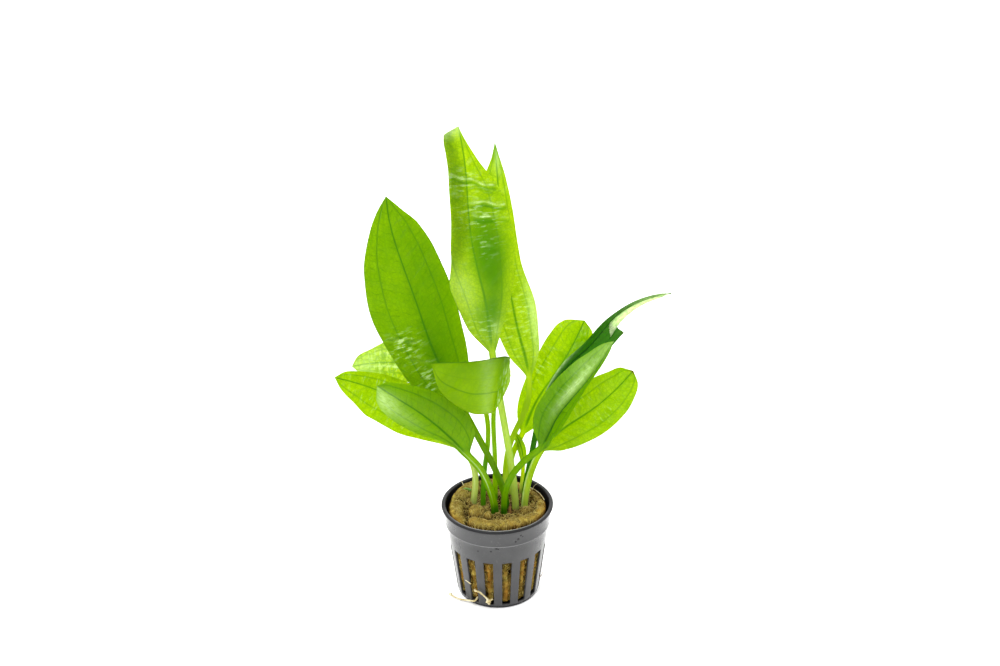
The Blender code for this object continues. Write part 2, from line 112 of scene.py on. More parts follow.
WOOL_LEVEL = 46.9
WOOL_TOP_RADIUS = 24.1
WOOL_INSET = 0.7
WOOL_TURNS = 340
WOOL_SIDE_ROWS = 60
WOOL_SIDE_TOP = 42.0
WOOL_TOP_ROWS = 54
WOOL_BLEND = 0.16  # how softly its lumps run into each other
WOOL_CREASE = 0.9  # depth and half width of the creases between them
WOOL_ROLLS = (  # centre line and radius of each rolled edge of the plug
    (((-11.4, -14.8, 45.8), (-4, -18, 46.0), (3, -17.8, 45.8), (10, -15.5, 45.6), (17, -11, 45.4),
      (21, -4, 45.0), (21.5, 3, 44.4)), 3.5),
    (((-17.2, -14.4, 43.4), (-19.4, -9, 44.6), (-19.8, 0, 45.5), (-17.5, 9, 46.2),
      (-12, 16, 46.4)), 4.3),
    (((-10, 18, 45.2), (-1, 20, 45.8), (8, 19, 45.2), (15, 14, 44.6), (19.5, 7, 44.2)), 3.6),
)
WOOL_DOMES = (  # x, y, top, radius
    (-10.2, -5.6, 50.4, 4.5),
    (-4.6, -8.6, 48.9, 2.2),
    (-14.5, 4, 48.3, 4.5),
    (14, -3, 48.0, 6.5),
    (14, 8, 47.8, 6),
    (2, 10, 48.2, 5),
)
# Of these marks, the mossy ones are the wool's own colour, the rust-brown ones partly rust and partly
# painted shade, and those of gaps painted shade.
WOOL_TOP_MARKS = {  # x, y, radius, strength
    "moss": ((-19, 1, 7, 0.9), (-17, -9, 4, 0.6), (-14, 12, 5, 0.5), (2, 16, 6, 0.4)),
    "rust_and_shade": ((-7.5, -10.5, 2.4, 0.9), (21, -3, 5, 0.7), (17, -10, 4, 0.6), (-19, -13, 3.5, 0.5),
             (9, -20, 4, 0.5), (12, 2, 4, 0.4), (-12.4, -16.5, 2.2, 0.6)),
    "shaded_gap": ((-18, 2, 2.5, 0.35), (-15.5, -1, 2.0, 0.4), (-20, -5, 2.0, 0.3), (5, 3, 8, 0.45),
            (-14.9, -15, 1.3, 0.8), (-15.2, -9, 1.3, 0.7), (-15.4, -4, 1.4, 0.6),
            (-8.5, -11, 1.6, 0.7), (-5.5, -11.5, 1.3, 0.4), (-15, 2, 1.6, 0.5)),
}
WOOL_SLOT_MARKS = {  # slot counted from the front one, height, sideways, reaches up and sideways
    "moss": ((-3, 6.0, 0.3, 4.5, 2.2), (-2, 12.5, -1.4, 2.0, 0.9), (0, 25.5, -0.9, 3.5, 1.3),
             (2, 14.0, 1.2, 10.0, 1.0), (3, 22.0, 0.0, 8.0, 3.0)),
    "rust_and_shade": ((-3, 16.0, 0.6, 5.0, 1.2), (-2, 9.0, 0.5, 6.0, 1.8), (-1, 20.0, 0.0, 8.0, 2.4),
             (0, 8.0, 0.0, 6.0, 2.4), (1, 25.0, 0.8, 3.5, 1.8), (2, 16.0, -1.2, 11.0, 1.0)),
    "shaded_gap": ((-3, 23.5, -1.6, 6.0, 0.9), (-2, 27.6, -1.8, 1.6, 1.1), (-2, 16.8, -1.7, 2.2, 1.1),
            (-1, 9.0, -1.7, 3.4, 0.8), (-1, 8.6, 1.5, 1.0, 0.8), (0, 23.0, 1.6, 6.5, 1.1),
            (1, 20.0, 1.9, 9.0, 0.6), (1, 4.4, -1.2, 1.6, 1.6), (2, 5.0, -1.3, 2.2, 1.2)),
}
FIBRES = 3200
FIBRE_POINTS = 7
FIBRE_STEP_TOP = 0.5
FIBRE_STEP_SIDE = 0.4

# -------------------------------- leaves, as in the solids but for a few half widths

WIDTH_AT = (0, 0.12, 0.3, 0.5, 0.7, 0.85, 0.94, 1.0)  # parts of a blade's length
FORM_AT = (0, 0.35, 0.7, 1.0)
NECK = 0.12
FOLD_SPAN = 0.07  # half the part of the width over which a rolled margin bends
ROLL_GAP = 0.04  # smooth part of the width just inside a rolled margin
STALK_CROWN = 0.2
STALK_BELLY = 1.15
RIB_BELLY = 0.35
RIB_TAPER = 0.6
BLADE_THICKNESS = 0.34
MARGIN_THICKNESS = 0.14
HALF_STEPS = 48
RIB_GROOVE = 0.12
VEINS = (0.0, 0.34, 0.62, 0.85)  # parts of a half blade where the long veins run,
VEIN_DEPTHS = (0, 0.05, 0.1, 0.05)  # how deep their grooves are
VEIN_TONES = (1, 0.2, 0.6, 0.15)  # and how dark they look
ACROSS_CELLS = 20
STALK_ROWS = 36
BLADE_STEP = 0.5  # distance between rows of a blade
AXIS_STEP = 0.25  # distance to either side over which a spine's direction is taken
STALK_FOOT = (35, 46)  # heights between which each stalk rises straight through the wool
FLAT = 2 * ((0, 0, 0, 0),)


def rooted(x, y, *route):
    """A spine that stands up out of the wool at x, y and then follows the route."""
    return (*((x, y, z) for z in STALK_FOOT), *route)


# Each leaf's spine in space, which of its points starts the blade (blade), the stalk's half
# width (stalk) and the blade's, left and right of the midrib at the stations WIDTH_AT. Then, at
# the stations FORM_AT: which way its face looks, and the degrees by which its left and right
# half are folded up along the midrib (fold) and bent further towards the margin (curl). neck is
# the part of the blade in which the stalk thins out into it. A margin may be rolled over.
LEAVES = {
    "leaf_large_left": dict(
        spine=rooted(4.6, -0.8, (-6, -3, 82), (-17, 1, 104), (-30, 8, 131), (-37, 15, 151),
                     (-44, 24, 169), (-50, 34, 189), (-51, 38, 197)),
        blade=3,
        stalk=1.9,
        left=(1.6, 14.5, 19.5, 23, 19, 11, 4.8, 0),
        right=(1.6, 11.5, 17, 18.5, 17.5, 13.2, 6, 0),
        face=((0.2, -1, 0.3), (0.2, -1, 0.35), (0.15, -1, 0.4), (0.1, -1, 0.4)),
        fold=((15, 8, 6, 4), (12, 6, 4, 4)),
        curl=((0, 0, 0, 0), (-10, -15, -15, -10)),
    ),
    "leaf_tall_centre": dict(
        spine=rooted(9, -1.6, (6, -1, 79), (2, 1, 106), (-1.5, 4, 131), (-4, 9, 153),
                     (-10, 17, 180), (-12, 25, 200), (-13, 32, 214), (-16, 41, 231)),
        blade=4,
        stalk=1.8,
        width_at=(0, 0.12, 0.3, 0.5, 0.7, 0.85, 0.97, 1.0),
        left=(1.7, 10.5, 15, 18, 17, 15, 12.5, 0),
        right=(1.7, 7, 15.5, 20, 16, 6, 0.8, 0),
        face=((0, -1, 0.3), (0, -1, 0.35), (0, -1, 0.35), (0, -1, 0.3)),
        fold=2 * ((8, 5, 5, 5),),
        curl=((0, 0, 0, 0), (-8, -10, -10, -5)),
        rolled=dict(
            at=(0, 0.3, 0.45, 0.6, 0.8, 1.0),
            where=(0.97, 0.93, 0.63, 0.5, 0.54, 0.66),
            angle=(0, -50, -160, -168, -168, -168),
        ),
    ),
    "leaf_tall_back": dict(
        spine=rooted(4, 7, (7, 11, 77), (15, 14, 96), (16, 16, 111), (11, 20, 134), (6, 29, 164),
                     (3, 40, 191), (1, 53, 218)),
        blade=4,
        stalk=1.4,
        left=(1.4, 8, 10.5, 11, 10, 6.5, 2.0, 0),
        right=(1.4, 8, 11, 7, 6, 4, 1.6, 0),
        face=((0, -1, 0.3), (0, -1, 0.35), (0, -1, 0.35), (0, -1, 0.3)),
        fold=2 * ((12, 8, 5, 5),),
        curl=((0, 0, 0, 0), (-10, -10, -10, -10)),
    ),
    "leaf_oval_back": dict(
        spine=rooted(7, 12, (8, 15, 68), (13, 18, 78), (18, 21, 90), (30, 28, 107), (37, 34, 116),
                     (44, 41, 128)),
        blade=3,
        stalk=1.4,
        left=(1.4, 6, 9.5, 12, 13, 12, 9, 0),
        right=(1.4, 6, 9, 10, 9.5, 8, 6, 0),
        face=((-0.1, -1, 0.3), (-0.1, -1, 0.3), (-0.1, -1, 0.4), (-0.1, -1, 0.4)),
        fold=2 * ((12, 8, 6, 5),),
        curl=((0, 0, -5, -10), (-5, -10, -10, -10)),
    ),
    "leaf_arching_right": dict(
        spine=rooted(13, 4, (17, 5, 73), (24, 8, 102), (36, 11, 120), (45, 13, 128), (56, 15, 141),
                     (69, 16, 150), (84, 15, 155)),
        blade=3,
        stalk=1.5,
        left=(1.5, 2.2, 3, 3, 1.8, 1.5, 1.1, 0),
        right=(1.5, 8, 10, 10.5, 5, 2.2, 1.4, 0),
        face=((-0.5, -1, 0.5), (-0.4, -0.8, 0.7), (-0.3, -0.7, 0.8), (-0.2, -0.7, 0.8)),
        fold=((25, 30, 35, 25), (10, 10, 10, 10)),
        curl=((0, 0, 0, 0), (-5, -5, -5, -5)),
    ),
    "leaf_folded_right": dict(
        spine=rooted(3.2, -5.4, (8, -9, 71), (14, -8, 78), (21, -9, 85), (28, -10, 100),
                     (36, -11, 113), (47, -12, 129), (55, -12, 144)),
        blade=4,
        stalk=1.6,
        left=(1.6, 8, 11.5, 12, 10.5, 7, 4, 0),
        right=(1.6, 4, 9, 6, 2.6, 2, 1.4, 0),
        face=4 * ((-0.4, -1, 0.4),),
        fold=((15, 20, 20, 15), (30, 50, 50, 40)),
        curl=FLAT,
    ),
    "leaf_oval_right": dict(
        spine=rooted(13.3, -0.8, (17, -1, 68), (22, 0, 79), (33, 0, 91), (46, -2, 102),
                     (58, -4, 115), (65, -6, 125)),
        blade=3,
        stalk=1.8,
        left=(1.6, 5, 9, 12, 11.5, 8.5, 6, 0),
        right=(1.6, 8, 11.5, 12.5, 11.5, 8.8, 6, 0),
        face=((-0.1, -1, 0.4), (-0.1, -1, 0.5), (0, -1, 0.6), (0, -1, 0.6)),
        fold=((12, 8, 6, 5), (10, 6, 5, 5)),
        curl=2 * ((-5, -10, -10, -10),),
    ),
    "leaf_bent_front": dict(
        spine=rooted(-1, 8, (-1, 8, 74), (0, 9, 104), (4, 8, 117), (6.5, 4, 126), (5, -3, 132),
                     (-2, -9, 134), (-17, -14, 135), (-30, -16, 136)),
        blade=3,
        neck=0.04,
        stalk=1.1,
        left=(1.2, 3, 10, 28, 26.5, 20, 13, 0),
        right=(1.2, 1.3, 2, 6, 11, 11, 7, 0),
        face=((0, 1, 0.1), (0, 0.2, 1), (0, -0.1, 1), (0, -0.1, 1)),
        fold=((-95, -96, -75, -72), (-70, -62, -62, -58)),
        curl=FLAT,
    ),
    "leaf_front_left": dict(
        spine=rooted(-1.2, -4.6, (-4, -10, 65), (-8, -11, 75), (-14, -13, 84), (-22, -15, 95),
                     (-37, -19, 112), (-46, -21, 120), (-55, -23, 128)),
        blade=4,
        stalk=2.1,
        left=(1.8, 2, 5, 9, 10, 9, 6.5, 0),
        right=(1.8, 10.5, 14, 12.8, 10, 6.5, 4, 0),
        face=((0.1, -1, 0.5), (0.1, -1, 0.6), (0.1, -1, 0.6), (0.1, -1, 0.6)),
        fold=((18, 12, 10, 8), (14, 12, 10, 8)),
        curl=((0, -5, -5, 0), (-10, -15, -15, -10)),
    ),
    "leaf_wide_left": dict(
        spine=rooted(-11.8, 3.4, (-11, 3, 66), (-15, 5, 76), (-27, 7, 89), (-41, 7, 99),
                     (-58, 6, 110), (-77, 4, 118)),
        blade=3,
        stalk=1.5,
        left=(1.5, 6, 11, 14, 13.5, 9, 5, 0),
        right=(1.5, 7, 12.5, 10.5, 8.5, 6, 4, 0),
        face=4 * ((0.1, -1, 0.6),),
        fold=2 * ((12, 8, 6, 5),),
        curl=2 * ((-5, -10, -10, -10),),
    ),
    "leaf_pale_left": dict(
        spine=rooted(-7, 3, (-6, 3, 66), (-4, 5, 88), (-9, 13, 103), (-24, 18, 111), (-40, 21, 115),
                     (-56, 22, 116), (-70, 22, 114)),
        blade=4,
        stalk=1.2,
        left=(1.2, 5, 8, 9, 8, 6, 4, 0),
        right=(1.2, 4, 7, 9, 11, 8, 5, 0),
        face=((0.1, -1, 0.5), (0.1, -1, 0.6), (0.1, -1, 0.7), (0.1, -1, 0.7)),
        fold=((12, 12, 12, 12), (12, 10, 10, 10)),
        curl=((-10, -10, -15, -20), (-10, -20, -40, -50)),
    ),
    "leaf_small_back": dict(
        spine=rooted(12, 13, (13, 14, 62), (12, 15, 72), (8, 16, 81)),
        blade=2,
        stalk=1.0,
        left=(1.0, 1.4, 2, 2.2, 1.8, 1.2, 0.8, 0),
        right=(1.0, 1.4, 2, 2.2, 1.8, 1.2, 0.8, 0),
        face=4 * ((0, -1, 0.3),),
        fold=2 * ((10, 10, 10, 10),),
        curl=FLAT,
    ),
}

# The arching leaf's torn right half: the part that stays, and the flap beyond the tear, with
# the slant of each one's edge there.
TEAR_AT = 0.6  # where along the blade it is torn
TEAR_REACH = 9.0  # distance over which the blade's rows lean into the tear
STUB = dict(right=(1.5, 6, 7.5, 9.3, 9.8, 5, 3, 0), slant=3.0)
FLAP = dict(right=(1.5, 8, 10, 6.8, 3.8, 2.0, 1.2, 0), slant=-4.0)
FLAP_LOOK = dict(glare=((0.78, 0.7, 0.4, 0.8, 1.1),), brown=(), lift=0.7)

# How each leaf looks: its green as reflected and as seen through, length and strength of the
# stalk's pale foot, ripples (height, spacing), waves of the margin (height, count, phase),
# ridges (place along the blade, its change over a half blade's width, first and last part of
# the width, height, half width in mm), and marks of four kinds (place along and across,
# reaches, strength): darker, mostly painted shade where other leaves, folds and bends shade
# the leaf and partly a darker green of the leaf itself; glaring, painted glare; crumpled,
# painted glints and painted shade in the creases of a crumpled patch; and brown. USUAL holds
# what a leaf's own table leaves out, and besides: how strong and fine the net of veins is
# (net, net_scale), how strong the rungs between the long veins (rungs), the painted highlight
# on the ridges (shine), the painted shade of the stalk (stalk_dark) and of the rolled strip
# where two layers overlap (strip) are, how deep the stalk's channel is (channel), and how far
# the blade is lifted (lift).
MARK_KINDS = ("dark", "glare", "painted_crumple_light", "brown")
USUAL = dict(
    pale_foot=(1, 0), ridges=(), net=0.36, net_scale=0.6, rungs=0.5, shine=0.25, stalk_dark=0,
    strip=0, channel=0, lift=0, **{kind: () for kind in MARK_KINDS}
)
MID = ((0.12, 0.22, 0.002), (0.52, 0.74, 0.01))
BRIGHT = ((0.16, 0.27, 0.002), (0.70, 0.86, 0.01))
DARK = ((0.035, 0.115, 0.002), (0.12, 0.38, 0.004))
LOOKS = {
    "leaf_large_left": dict(
        green=((0.11, 0.20, 0.002), (0.47, 0.67, 0.008)), ripple=(0.07, 9), wave=(0.5, 2.3, 0.4),
        ridges=((0.305, -0.10, -1.0, -0.2, 0.7, 1.3), (0.27, -0.10, -0.85, -0.3, 0.5, 0.9),
                (0.22, -0.08, -0.8, -0.1, 0.6, 1.1), (0.175, -0.09, -0.8, -0.2, 0.45, 0.8),
                (0.13, -0.08, -0.75, 0.0, 0.7, 1.1), (0.09, -0.06, -0.7, -0.1, 0.5, 0.8)),
        dark=((0.1, 0.0, 0.3, 0.3, 0.45), (0.45, 0.4, 0.45, 0.5, 0.3), (-0.5, 0.0, 0.35, 3, 0.5)),
        painted_crumple_light=((0.345, -0.62, 0.05, 0.36, 1.1), (0.17, -0.45, 0.08, 0.32, 0.8)),
        net=0.26, shine=0.15,
    ),
    "leaf_tall_centre": dict(
        green=((0.19, 0.30, 0.004), (0.76, 0.90, 0.02)), pale_foot=(30, 0.5), ripple=(0.15, 8),
        wave=(0.5, 2.0, 1.4),
        ridges=((0.765, -0.045, -0.6, 1.0, 0.8, 1.2), (0.74, -0.035, -0.1, 0.9, 0.45, 1.0),
                (0.665, -0.02, -0.05, 1.1, 0.8, 1.2), (0.615, -0.05, 0.0, 0.7, 0.7, 1.5),
                (0.56, 0.03, 0.65, 1.1, 0.4, 1.2), (0.47, -0.02, 0.2, 0.6, 0.5, 2.0),
                (0.40, 0.0, -0.5, -0.15, 0.4, 1.8), (0.69, -0.02, -0.6, -0.1, 0.4, 2.0)),
        dark=((0.42, 0.35, 0.22, 0.45, 0.95), (0.15, 0.1, 0.09, 0.6, 0.7)),
        glare=((1.0, -0.4, 0.035, 0.8, 0.6), (0.3, -0.6, 0.1, 0.35, 0.2),
               (0.1, 0.5, 0.03, 0.3, 0.25), (-0.35, 0, 0.35, 2, 0.3)),
        painted_crumple_light=((0.6, 0.3, 0.06, 0.5, 0.9), (0.46, 0.3, 0.05, 0.3, 0.6),
                 (0.76, -0.3, 0.05, 0.9, 0.6), (0.1, -0.2, 0.07, 0.8, 0.6)),
        brown=((-0.82, 1.0, 0.08, 0.3, 0.4),),
        shine=0.8, strip=0.6,
    ),
    "leaf_tall_back": dict(
        green=((0.18, 0.29, 0.010), (0.74, 0.88, 0.05)), pale_foot=(14, 0.5), ripple=(0.25, 8),
        wave=(0.5, 3, 0.2),
        ridges=((0.34, 0.1, -0.8, 0.9, 0.3, 1.2), (0.22, -0.06, -0.9, 0.4, 0.3, 1.0)),
        dark=((0.97, 0, 0.05, 3, 0.5),),
        glare=((0.24, 0.85, 0.15, 0.22, 0.5), (0.93, 0.2, 0.05, 0.5, 0.4)),
        painted_crumple_light=((0.28, 0.5, 0.2, 0.4, 0.5), (0.2, -0.5, 0.15, 0.4, 0.4)),
        stalk_dark=0.3,
    ),
    "leaf_oval_back": dict(
        green=BRIGHT, pale_foot=(10, 0.5), ripple=(0.2, 8), wave=(0.5, 2.2, 2.0),
        ridges=((0.46, 0.16, -1.0, -0.5, 0.6, 0.9), (0.7, 0.05, -0.9, 0.2, 0.25, 1.2)),
        dark=((0.72, 0.4, 0.25, 0.6, 0.5),),
        painted_crumple_light=((0.5, -0.6, 0.15, 0.3, 0.5),),
        stalk_dark=0.3,
    ),
    "leaf_arching_right": dict(
        green=DARK, ripple=(0.1, 9), wave=(0.1, 2, 0.0),
        glare=((0.17, -1.1, 0.13, 0.45, 0.8), (0.98, 0, 0.24, 3, 0.5)),
        brown=((0.64, 1, 0.015, 0.12, 1.0),),
        net=0.1,
    ),
    "leaf_folded_right": dict(
        green=((0.10, 0.20, 0.002), (0.46, 0.70, 0.01)), ripple=(0.15, 8), wave=(0.2, 2, 0.0),
        glare=((0.56, -0.26, 0.22, 0.15, 0.7), (0.97, -0.3, 0.16, 0.8, 0.25),
               (0.72, -0.6, 0.12, 0.35, 0.2)),
        painted_crumple_light=((0.6, -0.4, 0.3, 0.3, 0.25),),
        net=0.2,
    ),
    "leaf_oval_right": dict(
        green=((0.14, 0.25, 0.002), (0.66, 0.83, 0.01)), pale_foot=(20, 0.4), ripple=(0.12, 7),
        wave=(0.4, 2.4, 1.0),
        ridges=((0.55, 0.04, 0.1, 0.9, 0.2, 1.2), (0.4, -0.05, -0.9, -0.2, 0.2, 1.2)),
        glare=((-0.25, -0.8, 0.3, 0.3, 0.8),),
        painted_crumple_light=((0.35, -0.5, 0.3, 0.3, 0.2), (0.6, 0.5, 0.15, 0.3, 0.2)),
        brown=((1.0, 0, 0.015, 2, 1.0),),
    ),
    "leaf_bent_front": dict(
        green=((0.17, 0.29, 0.002), (0.72, 0.90, 0.01)), ripple=(0.12, 8),
        wave=(0.2, 2.5, 0.0),
        ridges=((0.42, 0.1, -0.9, 0.2, 0.5, 0.9), (0.36, 0.08, -0.9, 0.2, 0.5, 0.9),
                (0.48, 0.08, -0.8, 0.0, 0.4, 0.9)),
        dark=((0.46, -0.5, 0.07, 2, 0.35),),
        glare=((0.34, 0.1, 0.04, 0.8, 0.4), (0.62, -0.5, 0.05, 1.5, 0.16)),
        painted_crumple_light=((0.42, -0.6, 0.06, 0.5, 1.2),),
        net=0.12, net_scale=0.45, rungs=0.15, stalk_dark=0.5,
    ),
    "leaf_front_left": dict(
        green=MID, ripple=(0.12, 9), wave=(0.2, 2.0, 0.5), channel=0.25,
        glare=((0.9, -0.5, 0.14, 0.5, 0.55), (0.66, -0.6, 0.16, 0.3, 0.15),
               (-0.22, -0.3, 0.22, 0.12, 0.9)),
        net=0.15,
    ),
    "leaf_wide_left": dict(
        green=BRIGHT, pale_foot=(42, 0.8), ripple=(0.2, 8), wave=(0.4, 2.2, 0.5),
        ridges=((0.5, 0.03, -0.9, 0.8, 0.2, 1.3), (0.66, -0.03, -0.8, 0.8, 0.2, 1.2)),
        dark=((-0.25, 0.7, 0.3, 0.8, 0.6),),
        glare=((-0.22, -0.3, 0.2, 0.3, 0.5),),
        painted_crumple_light=((0.5, 0.5, 0.4, 0.25, 0.6), (0.45, -0.5, 0.4, 0.25, 0.5)),
    ),
    "leaf_pale_left": dict(
        green=((0.20, 0.32, 0.012), (0.78, 0.92, 0.05)), ripple=(0.25, 6), wave=(0.7, 3.2, 0.3),
        ridges=((0.55, 0.08, -0.9, 0.9, 0.4, 1.0), (0.72, -0.1, -0.9, 0.9, 0.4, 1.0)),
        dark=((-0.85, 0, 0.4, 3, 1.0),),
        glare=((0.7, 0.4, 0.3, 0.5, 0.2), (0.92, -0.3, 0.12, 0.8, 0.4),
               (0.6, -0.25, 0.2, 0.07, 0.9)),
        painted_crumple_light=((0.6, 0.1, 0.3, 0.8, 0.9),),
        net=0.55, net_scale=0.36, stalk_dark=0.45,
    ),
    "leaf_small_back": dict(
        green=BRIGHT, pale_foot=(10, 0.5), ripple=(0.05, 6), wave=(0.1, 2, 0.3)
    ),
}
SHARE_THROUGH = 0.63  # of the light that meets a face, what goes to the translucent shader
LONG_VEIN = (0.12, 0.6)  # mm from a long vein's middle where it is full, and where it ends
RUNG_SPACING = 1.7  # half the distance between the rungs that join the long veins
RUNG_LEAN = 0.62  # how far the rungs lean forward for each mm away from the midrib
RUNG_DRIFT = 3.6  # how far noise bends them
GLOSS_STRETCH = (1.6, 0.35, 1.0)  # how far noise is squeezed across and along the leaf
CREASE_STRETCH = (0.17, 0.62, 1.0)
STREAK_STRETCH = (2.6, 0.05, 1.0)
BLOTCH_TINT = (0.88, 0.93, 1)  # times the leaf's own green
STREAK_TINT = (1.5, 1.25, 1)
VEIN_TINT = (0.34, 0.55, 0.4)
# Green of the painted shade, as a share of the leaf's own; partly the leaf's own darker green.
DARK_TINT = (0.36, 0.58, 0.5)
DRY_BROWN = (0.12, 0.05, 0.01)
PALE_FOOT = ((0.36, 0.39, 0.14), (0.72, 0.78, 0.36))
# Painted glare: a whitish green that stands in for light glancing off the leaf.
GLARE = ((0.80, 0.91, 0.56), (0.70, 0.86, 0.40))  # as reflected and as seen through
# painted shade on the stalk's foot
DARK_FOOT = 6.0  # length of a stalk's shaded green foot, fainter where it has a pale one

# ---------------------------------------------------------------- roots

ROOTS = {
    "root_left": (
        (-10.2, -16.8, 4.7), (-11.4, -18.6, 4.0), (-14.4, -16.2, 2.3), (-18.1, -13.9, 1.3),
        (-21.6, -12.0, 1.5), (-24.6, -9.6, 2.2),
    ),
    "root_front": (
        (-11.2, -17.2, 9.8), (-11.6, -19.4, 10.3), (-9.8, -20.6, 10.5), (-8.4, -21.1, 9.7),
        (-7.2, -21.3, 8.6), (-6.0, -21.4, 7.2), (-5.0, -21.4, 5.4), (-4.6, -21.4, 3.4),
    ),
}
ROOT_RADIUS = 0.45
ROOT_ENDS = {"root_left": (1.1, 0.5, 0.8), "root_front": (1.6, 0.75, 1.3)}  # knob: place, size, length
STRAYS = (  # kind, radius at the ends, and route of each thin loose thing on the wool and wall
    ("root", (0.22, 0.12), ((-16.4, 14.6, 47.6), (-17.0, 16.4, 49.6), (-18.2, 17.8, 51.2),
                            (-19.4, 18.8, 52.3))),
    ("root", (0.16, 0.06), ((17.4, 14.2, 46.8), (17.9, 14.5, 48.2), (19.0, 15.0, 49.6),
                            (20.6, 15.5, 50.2))),
    ("root", (0.12, 0.16), ((14.6, 16.4, 48.0), (18.3, 13.0, 48.3), (21.2, 8.6, 48.3),
                            (23.2, 3.6, 47.9))),
    ("root", (0.34, 0.16), ((-13.4, -17.6, 13.0), (-14.6, -17.2, 13.8), (-16.2, -16.4, 14.6))),
    ("root", (0.45, 0.25), ((-4.9, -21.5, 5.2), (-3.9, -21.8, 6.0), (-2.9, -21.9, 7.0))),
    ("brown", (0.22, 0.10), ((20.4, -5.0, 8.0), (21.5, -5.3, 9.4), (22.1, -5.0, 11.0))),
    ("brown", (1.0, 0.5), ((6.0, -4.2, 45.5), (6.1, -4.2, 48.0), (6.3, -4.1, 50.4))),
    ("green", (0.5, 0.8), ((-16.8, 10.8, 50.2), (-15.0, 10.6, 50.5), (-13.0, 10.2, 49.8))),
)

# ---------------------------------------------------------------- meshes


def new_piece(name, points, faces, look, replaced=None, values=()):
    """A smooth mesh in mm made a piece of the object's one body, with values at its points."""
    mesh = bpy.data.meshes.new(name)
    mesh.from_pydata((np.asarray(points) * MM).tolist(), [], faces)
    turn_outward(mesh)
    mesh.shade_smooth()
    mesh.materials.append(look)
    for kind, numbers in dict(values).items():
        layer = mesh.attributes.new(kind, "FLOAT", "POINT")
        layer.data.foreach_set("value", np.asarray(numbers, np.float32))
    piece = bpy.data.objects.new(name, mesh)
    bpy.context.scene.collection.objects.link(piece)
    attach(piece, "root")
    if replaced:
        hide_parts(replaced)
    return piece


def turn_outward(mesh):
    """Turns the faces so that their normals point out of the closed mesh."""
    bm = bmesh.new()
    bm.from_mesh(mesh)
    bmesh.ops.recalc_face_normals(bm, faces=bm.faces)
    if bm.calc_volume(signed=True) < 0:
        bmesh.ops.reverse_faces(bm, faces=bm.faces)
    bm.to_mesh(mesh)
    bm.free()


def ring_faces(rows, columns):
    """Quads between rings of points, then the faces that close the first and last ring."""
    faces = []
    for i in range(rows - 1):
        for j in range(columns):
            k = (j + 1) % columns
            a = i * columns
            b = a + columns
            faces.append((a + j, a + k, b + k, b + j))
    faces.append(tuple(range(columns))[::-1])
    faces.append(tuple(range((rows - 1) * columns, rows * columns)))
    return faces


def smooth_step(x):
    x = np.clip(x, 0, 1)
    return x * x * (3 - 2 * x)


def unit(rows):
    return rows / np.linalg.norm(rows, axis=-1, keepdims=True)


def spline(points):
    """A smooth curve through the points: its function of length, and their lengths."""
    p = np.array(points, float)
    knots = np.concatenate([[0], np.cumsum(np.linalg.norm(np.diff(p, axis=0), axis=1))])
    h = np.diff(knots)
    count = len(p)
    system = np.eye(count)
    right = np.zeros((count, 3))
    for i in range(1, count - 1):
        system[i, i - 1 : i + 2] = (h[i - 1], 2 * (h[i - 1] + h[i]), h[i])
        right[i] = 6 * ((p[i + 1] - p[i]) / h[i] - (p[i] - p[i - 1]) / h[i - 1])
    bend = np.linalg.solve(system, right)

    def at(length):
        s = np.clip(np.atleast_1d(length), 0, knots[-1])
        i = np.clip(np.searchsorted(knots, s, side="right") - 1, 0, count - 2)
        span = h[i][:, None]
        a = (knots[i + 1] - s)[:, None]
        b = (s - knots[i])[:, None]
        cubic = (bend[i] * a**3 + bend[i + 1] * b**3) / (6 * span)
        before = (p[i] / span - bend[i] * span / 6) * a
        after = (p[i + 1] / span - bend[i + 1] * span / 6) * b
        return cubic + before + after

    return at, knots


def eased(stations, values, t):
    """Values at each t, eased between stations without overshooting them."""
    x = np.array(stations, float)
    y = np.array(values, float)
    h = np.diff(x)
    rise = np.diff(y) / h
    slope = np.concatenate([[rise[0]], np.zeros(len(x) - 2), [rise[-1]]])
    for i in range(1, len(x) - 1):
        if rise[i - 1] * rise[i] > 0:
            a = 2 * h[i] + h[i - 1]
            b = h[i] + 2 * h[i - 1]
            slope[i] = (a + b) / (a / rise[i - 1] + b / rise[i])
    t = np.clip(t, x[0], x[-1])
    i = np.clip(np.searchsorted(x, t, side="right") - 1, 0, len(x) - 2)
    s = (t - x[i]) / h[i]
    near = (1 + 2 * s) * (1 - s) ** 2 * y[i] + s * (1 - s) ** 2 * h[i] * slope[i]
    far = s * s * (3 - 2 * s) * y[i + 1] + s * s * (s - 1) * h[i] * slope[i + 1]
    return near + far


# ---------------------------------------------------------------- leaves


